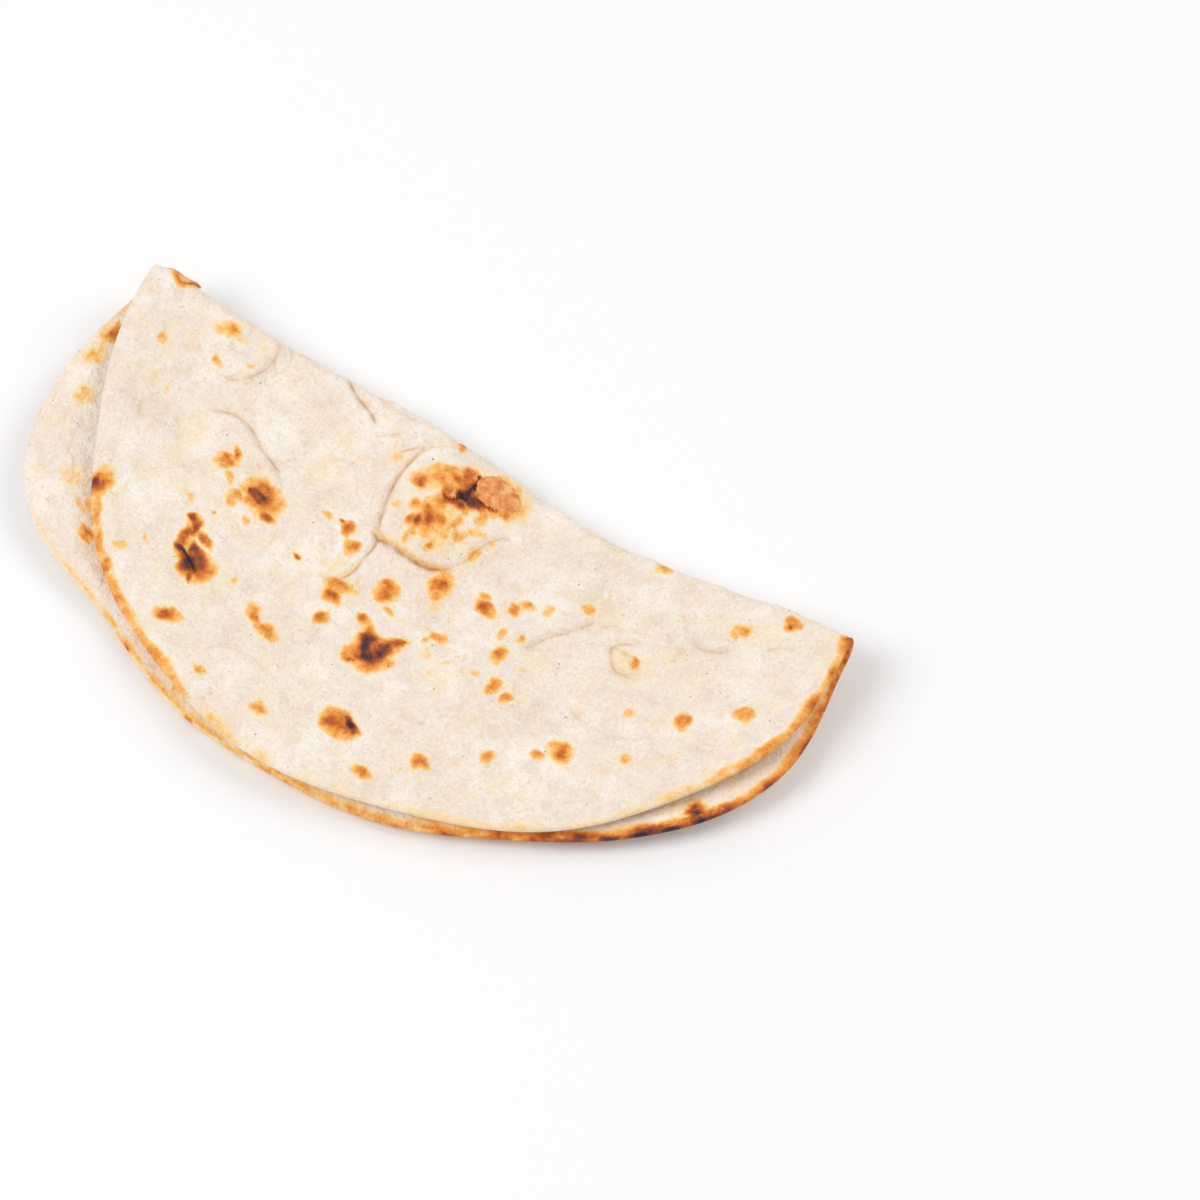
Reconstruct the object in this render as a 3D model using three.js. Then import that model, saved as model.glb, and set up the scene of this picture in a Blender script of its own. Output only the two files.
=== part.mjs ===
// A tandoori roti: a round flatbread baked against an oven wall, folded once across its middle
// and laid down with its blistered face outwards. Millimetres, +Z up: the fold runs along X at the
// back (+Y), the open rim comes round to the front (-Y), and the origin is the middle of the
// bounding box's base.
//
// The bread is described flat, as it comes off the oven wall, and each point is then carried round
// the fold. On the flat bread u runs along the fold and v runs across it: v > 0 becomes the top
// layer and v < 0 the bottom one.
import * as THREE from "three";

const { clamp, degToRad, euclideanModulo, lerp, smoothstep } = THREE.MathUtils;

// ---- Driving dimensions ----
const THICKNESS = 3.0; // of the baked sheet
const RIM = { thickness: 1.9, bulge: 0.8, taperFrom: 0.96 }; // taperFrom is a share of the radius
const FOLD_RADIUS = 3.4; // of the sheet's middle surface round the fold
const LAYER_GAP = 0.5; // between the layers, once they have settled on each other
const SETTLE_LENGTH = 26; // from the fold to where the top layer has settled

// The flat bread's radius every 20 degrees, from the fold's right end, round the top layer to the
// left end, and back round the bottom layer. The dough is stretched wider low on the left and right.
const RIM_RADII = [
  103, 108.5, 106.5, 103, 101, 100, 99.5, 99.5, 100,
  103, 112, 115.5, 103, 101.5, 101.5, 104, 110, 113,
];
const RIM_WAVES = { count: 9, depth: 0.7 }; // small waves along the rim

// Where the fold's line gives way beside the big blister.
const FOLD_DENT = { at: 36, halfLength: 58, depth: 5.0 };

// How the bread lifts off the table: at each end of the fold past the stretch that lies flat, and
// in low waves along its rim. The top layer's rim also gapes a little from the bottom layer's.
const END_LIFTS = { flatHalfLength: 48, left: 6.5, right: 5.0 };
const RIM_LIFT = { from: 62, to: 106, height: 1.6, waves: 5 };
const RIM_GAPE = { from: 0.75, height: 2.2, waves: 5 };

// Blisters and shallow bubbles of the outer face: middle, half sizes, turn and height, and the
// share of the half size over which each one eases down to the sheet.
const BUBBLES = {
  burstBlister: { at: [1, 21], half: [17, 16], turn: -12, height: 4.4, easing: 0.35 },
  itsNeighbour: { at: [-24, 40], half: [19, 11], turn: 24, height: 1.3, easing: 0.7 },
  wideLeft: { at: [-52, 48], half: [26, 24], turn: 10, height: 1.5, easing: 0.8 },
  atTheFold: { at: [-67, 14], half: [13, 9], turn: -15, height: 1.0, easing: 0.8 },
  smallRight: { at: [58, 36], half: [8, 6], turn: 20, height: 1.6, easing: 0.6 },
  wideRight: { at: [33, 62], half: [25, 17], turn: -18, height: 1.2, easing: 0.8 },
};

// ---- Fineness of the mesh ----
const COLUMNS = 46; // along the fold
const LAYER_ROWS = 17; // across each layer
const FOLD_ROWS = 12; // round the fold itself
const FOLD_SHARE = 0.09; // of the radius, on each side of the fold line, that the fold's rows fill

// The whole numbers from 0 up to, and not with, count.
const upTo = (count) => [...Array(count).keys()];

// ---- The flat bread ----
const rimCurve = new THREE.SplineCurve(
  upTo(RIM_RADII.length + 3).map(
    (step) => new THREE.Vector2(step, RIM_RADII.at((step - 1) % RIM_RADII.length)),
  ),
);

function rimRadius(angle) {
  const turns = euclideanModulo(angle / (2 * Math.PI), 1);
  const step = turns * RIM_RADII.length + 1;
  const smooth = rimCurve.getPoint(step / (rimCurve.points.length - 1)).y;
  return smooth + RIM_WAVES.depth * Math.sin(RIM_WAVES.count * angle);
}

// A place on the flat bread, from its angle and its reach: 0 in the middle and 1 on the rim.
function placeAt(angle, reach, beyond = 0) {
  const radius = reach * rimRadius(angle) + beyond;
  return { u: radius * Math.cos(angle), v: radius * Math.sin(angle), angle, reach };
}

// A place on a square of half size 1 becomes a place on the flat bread: the square's rows stay
// nearly in line with the fold, and its border becomes the rim.
function placeOnBread(x, y) {
  const along = x * Math.sqrt(1 - (y * y) / 2);
  const across = y * Math.sqrt(1 - (x * x) / 2);
  return placeAt(Math.atan2(across, along), Math.hypot(along, across));
}

function bubbleHeight({ at, half, turn, height, easing }, u, v) {
  const cos = Math.cos(degToRad(turn));
  const sin = Math.sin(degToRad(turn));
  const along = ((u - at[0]) * cos + (v - at[1]) * sin) / half[0];
  const across = ((v - at[1]) * cos - (u - at[0]) * sin) / half[1];
  return height * (1 - smoothstep(Math.hypot(along, across), 1 - easing, 1));
}

function reliefHeight({ u, v }) {
  return Object.values(BUBBLES).reduce((sum, bubble) => sum + bubbleHeight(bubble, u, v), 0);
}

// Half the sheet's thickness, which tapers towards the rim.
function halfThickness({ reach }) {
  return lerp(THICKNESS, RIM.thickness, smoothstep(reach, RIM.taperFrom, 1)) / 2;
}

// ---- The fold ----
const QUARTER_TURN = Math.PI / 2;

// How far the top layer sinks on to the bottom one, less what its rim gapes.
function settling({ reach, angle }, pastFold) {
  const sink = 2 * FOLD_RADIUS - THICKNESS - LAYER_GAP;
  const wave = (1 + Math.sin(RIM_GAPE.waves * angle)) / 2;
  const gape = RIM_GAPE.height * wave * smoothstep(reach, RIM_GAPE.from, 1);
  return (sink - gape) * smoothstep(pastFold, 0, SETTLE_LENGTH);
}

// How far the fold's line gives way, fading out across each layer.
function foldDent(u, pastFold) {
  const along = 1 - smoothstep(Math.abs(u - FOLD_DENT.at), 0, FOLD_DENT.halfLength);
  return FOLD_DENT.depth * along * (1 - smoothstep(pastFold, 0, 2 * SETTLE_LENGTH));
}

// How far the bread lifts off the table at a place on the table: the same for both layers.
function tableLift(x, y) {
  const { flatHalfLength, left, right } = END_LIFTS;
  const end = Math.max(Math.abs(x) - flatHalfLength, 0) / (RIM_RADII[0] - flatHalfLength);
  const wave = (1 + Math.sin(RIM_LIFT.waves * Math.atan2(y, x))) / 2;
  const rim = wave * smoothstep(Math.hypot(x, y), RIM_LIFT.from, RIM_LIFT.to);
  return (x < 0 ? left : right) * end * end + RIM_LIFT.height * rim;
}

// A point of the sheet, height w above its middle surface, carried round the fold.
function foldedPoint(place, w) {
  const { u, v } = place;
  const bend = clamp(v / FOLD_RADIUS, -QUARTER_TURN, QUARTER_TURN);
  const pastFold = Math.max(Math.abs(v) - FOLD_RADIUS * QUARTER_TURN, 0);
  const sunk = v > 0 ? settling(place, pastFold) : 0;
  const y = (FOLD_RADIUS + w) * Math.cos(bend) - pastFold - foldDent(u, pastFold);
  const z = FOLD_RADIUS + THICKNESS / 2 + (FOLD_RADIUS + w) * Math.sin(bend) - sunk;
  return new THREE.Vector3(u, y, z + tableLift(u, y));
}

// ---- The solid ----
// The rows' places across the square, from the bottom layer's rim to the top layer's.
function rowPlaces() {
  const layer = upTo(LAYER_ROWS).map((k) => (1 - FOLD_SHARE) * (k / LAYER_ROWS));
  const fold = upTo(FOLD_ROWS).map((k) => FOLD_SHARE * ((2 * k) / FOLD_ROWS - 1));
  return [...layer.map((y) => y - 1), ...fold, ...layer.map((y) => y + FOLD_SHARE), 1];
}

// The grid's border, in order round the bread.
function borderOrder(rows, stride) {
  const last = rows - 1;
  return [
    ...upTo(COLUMNS),
    ...upTo(last).map((row) => row * stride + COLUMNS),
    ...upTo(COLUMNS).map((column) => last * stride + COLUMNS - column),
    ...upTo(last).map((row) => (last - row) * stride),
  ];
}

// An outer and an inner skin of the same grid, joined round the rim by a rounded edge.
function rotiGeometry() {
  const rows = rowPlaces();
  const columns = upTo(COLUMNS + 1).map((k) => (2 * k) / COLUMNS - 1);
  const stride = columns.length;
  const places = rows.flatMap((y) => columns.map((x) => placeOnBread(x, y)));
  const border = borderOrder(rows.length, stride);

  const outer = places.map((place) =>
    foldedPoint(place, halfThickness(place) + reliefHeight(place)),
  );
  const inner = places.map((place) => foldedPoint(place, -halfThickness(place)));
  const rim = border.map((index) => foldedPoint(placeAt(places[index].angle, 1, RIM.bulge), 0));
  const toInner = outer.length;
  const toRim = outer.length + inner.length;

  const faces = [];
  for (const row of upTo(rows.length - 1)) {
    for (const column of upTo(COLUMNS)) {
      const a = row * stride + column;
      const [b, c, d] = [a + 1, a + stride + 1, a + stride];
      faces.push(a, c, b, a, d, c);
      faces.push(...[a, b, c, a, c, d].map((index) => index + toInner));
    }
  }
  border.forEach((a, k) => {
    const next = (k + 1) % border.length;
    const b = border[next];
    faces.push(a, next + toRim, k + toRim, a, b, next + toRim);
    faces.push(k + toRim, b + toInner, a + toInner, k + toRim, next + toRim, b + toInner);
  });

  const geometry = new THREE.BufferGeometry();
  geometry.setFromPoints([...outer, ...inner, ...rim]).setIndex(faces);
  geometry.computeBoundingBox();
  const { min, max } = geometry.boundingBox;
  return geometry.translate(-(min.x + max.x) / 2, -(min.y + max.y) / 2, -min.z);
}

const bakedDough = new THREE.MeshStandardMaterial({ color: 0xf4e4d2, roughness: 0.8, metalness: 0 });
const roti = new THREE.Mesh(rotiGeometry(), bakedDough);
roti.name = "roti";

const group = new THREE.Group();
group.add(roti);
export default group;
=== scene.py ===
# %% [markdown]
# # A folded tandoori roti
# A tandoori roti is a round sheet of wheat dough, pressed on the wall of a clay oven. It bakes in a
# minute: steam lifts blisters, the highest ones scorch, and the rest stays pale and soft. It is then
# folded in half while it is warm.
#
# This script works in that order. It shapes the bread flat, with its blisters, creases and browning,
# and then folds it. That is easier than shaping a folded bread, because a blister or a spot is placed
# once, on a plain disc, and the fold carries it to where it belongs.
#
# The first lines load the CAD model. Its box says how large the bread is and where it lies.

# %% Load the frame that everything is built in
import math

import bpy
import numpy as np
from mathutils import Matrix, Vector


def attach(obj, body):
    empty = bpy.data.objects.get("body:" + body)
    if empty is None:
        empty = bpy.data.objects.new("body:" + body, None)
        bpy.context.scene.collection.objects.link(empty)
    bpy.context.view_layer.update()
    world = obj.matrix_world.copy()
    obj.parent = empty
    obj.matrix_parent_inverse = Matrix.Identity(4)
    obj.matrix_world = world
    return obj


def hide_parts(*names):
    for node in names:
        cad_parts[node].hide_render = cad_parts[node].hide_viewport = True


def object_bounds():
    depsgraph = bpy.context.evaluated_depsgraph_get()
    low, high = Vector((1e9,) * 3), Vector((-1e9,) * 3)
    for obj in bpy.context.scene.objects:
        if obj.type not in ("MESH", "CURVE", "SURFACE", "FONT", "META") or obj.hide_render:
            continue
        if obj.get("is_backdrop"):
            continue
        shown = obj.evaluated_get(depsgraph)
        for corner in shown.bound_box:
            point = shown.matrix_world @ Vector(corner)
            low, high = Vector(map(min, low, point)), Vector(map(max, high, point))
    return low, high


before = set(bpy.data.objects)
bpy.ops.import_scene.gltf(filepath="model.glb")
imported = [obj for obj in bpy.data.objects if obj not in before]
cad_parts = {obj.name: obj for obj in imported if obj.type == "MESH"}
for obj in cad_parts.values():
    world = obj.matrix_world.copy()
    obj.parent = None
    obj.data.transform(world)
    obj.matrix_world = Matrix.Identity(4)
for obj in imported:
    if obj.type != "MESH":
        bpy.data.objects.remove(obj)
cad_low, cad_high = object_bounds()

print("CAD box in mm", [round(1000 * side, 1) for side in cad_high - cad_low])

# %% [markdown]
# ## The camera
# The camera looks down on the bread from the front right, with a long lens so that the bread isn't
# stretched by perspective. Its place is measured from the middle of the bread's base.

# %% Camera
MM = 0.001
CAMERA_AZIMUTH, CAMERA_ELEVATION = math.radians(32.85), math.radians(58)
CAMERA_PLACE = Vector((241.1, -275.3, 587.3)) * MM


def add_object(name, data):
    """Puts a mesh, a camera or a lamp into the scene, at the origin."""
    made = bpy.data.objects.new(name, data)
    bpy.context.scene.collection.objects.link(made)
    return made


def add_camera():
    data = bpy.data.cameras.new("camera")
    data.lens, data.sensor_width = 85, 36
    data.clip_start, data.clip_end = 0.01, 20
    camera = add_object("camera", data)
    camera.location = CAMERA_PLACE
    camera.rotation_euler = (math.pi / 2 - CAMERA_ELEVATION, 0, CAMERA_AZIMUTH)
    bpy.context.scene.camera = camera
    return camera


camera = add_camera()
print("camera is", round(camera.location.length, 3), "m from the middle of the bread's base")

# %% [markdown]
# ## Sizes of the bread
# The sizes repeat those of the CAD model, in millimetres. On the flat bread, u runs along the line
# that will be the fold, v runs across it, and w is the height above the middle of the sheet. The half
# with v > 0 becomes the top layer.

# %% Sizes, and the rim's radius at any angle
THICKNESS = 3.0
RIM_THICKNESS, RIM_BULGE, RIM_TAPER_FROM = 1.9, 0.8, 0.96
FOLD_RADIUS = 3.4
RIM_RADII = np.array([  # every 20 degrees, from the right end of the fold towards the front
    103, 108.5, 106.5, 103, 101, 100, 99.5, 99.5, 100,
    103, 112, 115.5, 103, 101.5, 101.5, 104, 110, 113,
])
RIM_WAVE_COUNT, RIM_WAVE_DEPTH = 9, 0.7


def cubic(before, start, end, after, t):
    """A smooth curve from start to end, at share t of the way, that heads on to the next values."""
    slope_start, slope_end = (end - before) / 2, (after - start) / 2
    rise = end - start
    return (
        start + slope_start * t + (3 * rise - 2 * slope_start - slope_end) * t**2
        + (slope_start + slope_end - 2 * rise) * t**3
    )


def smooth_ring(values, angle):
    """A smooth closed curve through evenly spaced values, read at an angle in radians."""
    count = len(values)
    place = (angle / (2 * np.pi) % 1) * count
    first = np.floor(place).astype(int)
    before, start, end, after = (values[(first + step) % count] for step in (-1, 0, 1, 2))
    return cubic(before, start, end, after, place - first)


def rim_radius(angle):
    return smooth_ring(RIM_RADII, angle) + RIM_WAVE_DEPTH * np.sin(RIM_WAVE_COUNT * angle)


print("flat bread", round(rim_radius(0.0) + rim_radius(np.pi), 1), "mm across along the fold")

# %% [markdown]
# ## The flat grid
# A disc made of rings has its rows in circles, and a fold across circles comes out ragged. So the
# disc is a square grid bent to a round outline, whose rows stay nearly in line with the fold. The rows
# are closest round the fold, where the sheet bends, and closer on the top layer than on the bottom
# one, because the top layer shows. The inner face is mostly hidden between the layers, so it takes
# every second row and column only.

# %% Grid places on the flat bread
COLUMNS = 292
BOTTOM_ROWS, FOLD_ROWS, TOP_ROWS = 62, 28, 166
FOLD_SHARE = 0.09


def square_to_disc(x, y):
    """The angle and reach (0 in the middle, 1 on the rim) of a place on a square of half size 1."""
    along, across = x * np.sqrt(1 - y * y / 2), y * np.sqrt(1 - x * x / 2)
    return np.arctan2(across, along), np.hypot(along, across)


def grid_rows():
    bottom = np.linspace(-1, -FOLD_SHARE, BOTTOM_ROWS, endpoint=False)
    fold = np.linspace(-FOLD_SHARE, FOLD_SHARE, FOLD_ROWS, endpoint=False)
    top = np.linspace(FOLD_SHARE, 1, TOP_ROWS + 1)
    return np.concatenate([bottom, fold, top])


class Skin:
    """A grid of places on the flat bread, for its outer or its inner face."""

    def __init__(self, rows, columns):
        x, y = np.meshgrid(columns, rows)
        self.angle, self.reach = square_to_disc(x.ravel(), y.ravel())
        radius = self.reach * rim_radius(self.angle)
        self.u, self.v = radius * np.cos(self.angle), radius * np.sin(self.angle)
        self.index = np.arange(x.size).reshape(x.shape)

    def border(self):
        """The points on the rim, in order round it."""
        index = self.index
        sides = index[0, :-1], index[:-1, -1], index[-1, :0:-1], index[:0:-1, 0]
        return np.concatenate(sides)

    def faces(self):
        """Four-sided faces. v points to the front, so they turn clockwise as seen on the flat bread."""
        index = self.index
        corners = index[:-1, :-1], index[1:, :-1], index[1:, 1:], index[:-1, 1:]
        return np.stack(corners, axis=-1).reshape(-1, 4)


rows, columns = grid_rows(), np.linspace(-1, 1, COLUMNS + 1)
outer, inner = Skin(rows, columns), Skin(rows[::2], columns[::2])
print("outer face", len(outer.u), "points; inner face", len(inner.u), "points")

# %% [markdown]
# ## Lines on the bread
# Creases, blister edges and cracks are lines on the flat bread. Each is a few points, made smooth. To
# use one, every point of the grid needs to know how far it is from the line, on which side, and how
# far along.

# %% Smooth lines
LINE_STEPS = 6


def smooth_line(points, closed=False):
    """More points along a smooth curve through the given ones."""
    ring = np.array(points, float)
    before_first, after_last = (ring[-1:], ring[:2]) if closed else (ring[:1], ring[-1:])
    padded = np.concatenate([before_first, ring, after_last])
    made = []
    for before, start, end, after in zip(padded, padded[1:], padded[2:], padded[3:]):
        for t in np.arange(LINE_STEPS) / LINE_STEPS:
            made.append(cubic(before, start, end, after, t))
    made.append(ring[0] if closed else ring[-1])
    return np.array(made)


print("3 points become", len(smooth_line([(0, 0), (1, 1), (2, 0)])), "along a smooth line")

# %% Distance from a line, and places inside an outline
def from_line(line, u, v):
    """Distance from a line; its side, 1 to the left of its direction and -1 to the right; and the
    share of the line that lies before the nearest place on it."""
    nearest = np.full(u.shape, np.inf)
    side, share = np.zeros(u.shape), np.zeros(u.shape)
    steps = len(line) - 1
    for step, (start, end) in enumerate(zip(line, line[1:])):
        du, dv = end - start
        t = np.clip(((u - start[0]) * du + (v - start[1]) * dv) / (du * du + dv * dv), 0, 1)
        distance = np.hypot(u - start[0] - t * du, v - start[1] - t * dv)
        closer = distance < nearest
        nearest = np.where(closer, distance, nearest)
        side = np.where(closer, np.sign(du * (v - start[1]) - dv * (u - start[0])), side)
        share = np.where(closer, (step + t) / steps, share)
    return nearest, side, share


def narrowing(share, plumpness, least):
    """The width of a line along its length: 1 in the middle, and less towards its two ends."""
    return np.sqrt(np.clip(plumpness * share * (1 - share), least, 1))


def is_inside(outline, u, v):
    """Whether each place is inside a closed outline, by counting the edges to its right."""
    inside = np.zeros(u.shape, bool)
    for (u0, v0), (u1, v1) in zip(outline, outline[1:]):
        if v0 != v1:
            crossing = u0 + (v - v0) * (u1 - u0) / (v1 - v0)
            inside ^= ((v0 > v) != (v1 > v)) & (u < crossing)
    return inside


straight = np.array([(0.0, 0.0), (10.0, 0.0)])
found = from_line(straight, np.array([5.0]), np.array([2.0]))
print("distance, side and share for a place beside a line:", [float(values[0]) for values in found])

# %% [markdown]
# ## Unevenness
# Nothing is even on bread that is shaped by hand, and noise gives that. Each corner of a grid gets a
# slope in a random direction, and the heights between the corners are blended. The bumps are smooth,
# all about as large as the grid's squares, and the same each time for the same seed.

# %% Smooth noise
LATTICE = 256


def smoothstep(x, low, high):
    """0 below low, 1 above high, and an S-shaped rise between them."""
    share = np.clip((x - low) / (high - low), 0, 1)
    return share * share * (3 - 2 * share)


def ripple(u, v, size, seed):
    """Gradient noise from about -1 to 1 over the flat bread, with bumps about size mm across."""
    turns = np.random.default_rng(seed).uniform(0, 2 * np.pi, (LATTICE, LATTICE))
    x, y = u / size, v / size
    column, row = np.floor(x).astype(int), np.floor(y).astype(int)
    x, y = x - column, y - row

    def corner(right, up):
        turn = turns[(column + right) % LATTICE, (row + up) % LATTICE]
        return np.cos(turn) * (x - right) + np.sin(turn) * (y - up)

    across, away = smoothstep(x, 0, 1), smoothstep(y, 0, 1)
    near = corner(0, 0) + across * (corner(1, 0) - corner(0, 0))
    far = corner(0, 1) + across * (corner(1, 1) - corner(0, 1))
    return 1.5 * (near + away * (far - near))


def uneven(u, v, amount, size, seed):
    """A factor round 1 that changes by about amount, over patches about size mm across."""
    return 1 + amount * ripple(u, v, size, seed)


sample = ripple(outer.u, outer.v, size=10, seed=0)
print("noise over the bread goes from", round(sample.min(), 2), "to", round(sample.max(), 2))

# %% [markdown]
# ## The burst blister
# The largest blister lies beside the fold. Steam blew its skin off the crumb, so its left and front
# edges stand up steeply and lean out over the bread, while its right side eases down. Its top burst,
# and the hole scorched black. Its height comes from the distance inside its outline: the rise is
# narrow where the edge is steep, and wide where it is easy.

# %% Height and lean of the burst blister
BLISTER_OUTLINE = smooth_line([
    (-10, 35), (-13, 29), (-15, 20), (-14, 12), (-10, 6), (-2, 2), (9, 1),
    (18, 4), (20, 11), (16, 19), (12, 27), (7, 34), (-2, 36),
], closed=True)
BLISTER_MIDDLE = (1, 20)
BLISTER_HEIGHT = 3.3
STEEP_EDGE, EASY_EDGE = 2.6, 13.0
EASY_DIRECTION = math.radians(-25)
EASY_COSINES = -0.4, 0.6  # from steep to easy, by the angle to that direction
CROWN_SHARE, CROWN_WIDTH = 0.34, 14
DIMPLE_DEPTH, DIMPLE_SIZE, DIMPLES_START = 0.16, 7, (1, 6)
LEAN, LEAN_START, LEAN_WIDTH = 0.7, 0.8, 4.0
BURST_LINE = smooth_line([(-3, 19), (0, 17), (2, 15), (4, 14)])
BURST_DEPTH, BURST_WIDTH = 1.3, 1.5


def inside_blister(u, v):
    """Distance inside the outline, and how easy the rise is there, from 0 to 1."""
    distance, _, _ = from_line(BLISTER_OUTLINE, u, v)
    inside = np.where(is_inside(BLISTER_OUTLINE, u, v), distance, 0)
    direction = np.arctan2(v - BLISTER_MIDDLE[1], u - BLISTER_MIDDLE[0])
    return inside, smoothstep(np.cos(direction - EASY_DIRECTION), *EASY_COSINES)


def blister_height(u, v):
    inside, easy = inside_blister(u, v)
    rise = np.clip(inside / (STEEP_EDGE + (EASY_EDGE - STEEP_EDGE) * easy), 0, 1)
    upright, sloping = np.sqrt(rise * (2 - rise)), smoothstep(rise, 0, 1)
    crown = 1 - CROWN_SHARE * (1 - smoothstep(inside, 0, CROWN_WIDTH))
    dimples = uneven(u, v, DIMPLE_DEPTH * smoothstep(inside, *DIMPLES_START), DIMPLE_SIZE, 11)
    return BLISTER_HEIGHT * (upright + (sloping - upright) * easy) * crown * dimples


def blister_lean(u, v):
    """How far each point shifts out from the blister's middle, so that steep edges overhang."""
    inside, easy = inside_blister(u, v)
    share = smoothstep(inside, 0, LEAN_START) * (1 - smoothstep(inside, LEAN_START, LEAN_WIDTH))
    out = LEAN * share * (1 - easy)
    out_u, out_v = u - BLISTER_MIDDLE[0], v - BLISTER_MIDDLE[1]
    length = np.maximum(np.hypot(out_u, out_v), 1)
    return out * out_u / length, out * out_v / length


def bell(distance, width):
    """1 at no distance, and almost 0 at twice the width."""
    return np.exp(-((distance / width) ** 2))


def burst_depth(u, v):
    distance, _, share = from_line(BURST_LINE, u, v)
    width = BURST_WIDTH * narrowing(share, plumpness=4, least=0.2)
    return BURST_DEPTH * bell(distance, width)


print("the blister rises", round(float(blister_height(outer.u, outer.v).max()), 2), "mm")

# %% [markdown]
# ## Creases
# A crease is a narrow groove with a raised lip on one side, which is the edge of the skin that lifted
# there. The grid is too coarse to draw a line half a millimetre wide, so the mesh also carries the
# distance to the nearest crease as an attribute, with a sign for its side. Such a distance runs
# straight through zero at the crease, so the material can paint a line finer than the grid: shade
# painted in the crease, in a tan that is partly the crease's own colour, with a fainter band of
# painted shade beside it. Halfway between two creases the sign can flip as well, so the line's
# darkness is kept beside it as a second attribute, which fades out before that. A crack in a char is
# a crease without a lip, and its darkness is over 1, so that the material paints it black: painted
# shade inside the crack, on the dark char.

# %% Where the creases are
# The darkness sets how strongly shade is painted along the crease.
CREASES = {  # points; groove depth and width; lip height, width and side (1 left, -1 right); darkness
    "foot of the blister on the left": (
        [(-8, 4), (-12, 7), (-15, 11), (-16, 20), (-14, 29), (-11, 35)], 0.5, 0.7, 0, 1, 1, 0.8),
    "foot of the blister at the front": (
        [(-14, 35), (-10, 36), (-4, 36), (2, 36), (7, 34), (11, 30)], 0.4, 0.8, 0, 1, 1, 1.0),
    "foot of the blister on the right": (
        [(7, 34), (11, 28), (13, 21), (17, 15)], 0.3, 1.0, 0.2, 3, 1, 0.5),
    "torn edge of the burst": (
        [(-4, 18), (0, 17), (2, 14), (3, 11), (2, 7)], 0.3, 0.5, 0.5, 1.5, -1, 1.0),
    "edge of the wide bubble on the left": (
        [(-70, 29), (-64, 26), (-57, 26), (-50, 30), (-43, 33), (-38, 38)], 0.5, 1.2, 0.8, 5, 1, 0.55),
    "edge of the bubble beside the blister": (
        [(-11, 34), (-10, 38), (-10, 43), (-10, 47), (-12, 51), (-17, 53)], 0.5, 0.8, 0.8, 6, -1, 0.8),
    "first arc by the fold": (
        [(-66, 2), (-63, 5), (-62, 10), (-63, 14), (-67, 18), (-73, 19)], 0.2, 1.0, 0.4, 3, 1, 0.5),
    "second arc by the fold": (
        [(-63, 2), (-60, 4), (-58, 8), (-60, 12)], 0.2, 1.0, 0.3, 2, -1, 0.45),
    "long wrinkle at the fold": (
        [(-44, 2), (-41, 4), (-37, 6), (-32, 8), (-28, 11)], 0.5, 0.8, 0.6, 3, 1, 0.8),
    "wrinkle on the fold": (
        [(-35, 2), (-28, 4), (-20, 4)], 0.3, 1.0, 0.4, 3, -1, 0.3),
    "short wrinkle": (
        [(-28, 13), (-25, 11), (-22, 9)], 0.3, 0.8, 0.3, 2, 1, 0.4),
    "wrinkle behind the blister": (
        [(-20, 14), (-17, 11), (-13, 8), (-9, 6)], 0.2, 0.8, 0.3, 2, 1, 0.6),
    "soft crease right of the middle": (
        [(36, 44), (40, 36), (44, 30), (48, 23)], 0.5, 1.5, 0.7, 5, -1, 0.4),
    "torn line near the right rim": (
        [(87, 15), (90, 13), (94, 11)], 0.3, 0.8, 0.3, 2, 1, 0.25),
    "edge of the small bubble on the right": (
        [(60, 25), (56, 27), (55, 30), (57, 34), (60, 36), (65, 35)], 0.6, 1.0, 0.8, 4, -1, 0.6),
    "gathered dough towards the right end": (
        [(69, 16), (72, 20), (77, 20), (81, 17)], 0.5, 1.3, 0.9, 4, -1, 0.35),
    "crumple beside it": (
        [(64, 19), (67, 22), (72, 23)], 0.5, 1.2, 0.8, 3, 1, 0.45),
    "short line right of the middle": (
        [(49, 25), (52, 23), (56, 23)], 0.3, 1.0, 0.4, 3, 1, 0.4),
    "dip left of the blister": (
        [(-30, 20), (-24, 26), (-22, 32)], 0.4, 1.6, 0.5, 4, -1, 0.1),
    "dip towards the right end": (
        [(60, 8), (66, 13), (70, 20), (69, 28)], 0.4, 1.8, 0.5, 5, 1, 0.1),
    "dip at the left rim": (
        [(-88, 24), (-84, 34), (-78, 42)], 0.3, 1.8, 0.3, 6, -1, 0.1),
    "front bubble on the right": (
        [(52, 48), (60, 52), (70, 51), (78, 46)], 0.3, 1.6, 0.4, 6, 1, 0.1),
    "front bubble on the left": (
        [(-30, 84), (-20, 80), (-8, 82), (2, 88)], 0.3, 1.5, 0.4, 6, 1, 0.1),
    "front wrinkle": (
        [(24, 72), (34, 77), (46, 76)], 0.3, 1.4, 0.3, 5, -1, 0.1),
    "crack in the char on the left": (
        [(-50, 64), (-48, 65), (-46, 66), (-44, 67), (-41, 69)], 0.3, 0.5, 0, 1, 1, 2.0),
}
print(len(CREASES), "creases and cracks")

# %% Relief of the creases, and the distance to them
CREASE_REACH = 4.0  # the distance beyond which a crease no longer counts
END_FADE = 0.2  # the share of its length over which each end fades out
CREASE_STRENGTH, CREASE_PATCHES, FAINTEST = 0.8, 4, 0.25  # its strength changes along it
LIP_START = 1.2
DARKNESS_ENDS = 1.2, 2.4  # distances between which its darkness fades out


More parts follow.
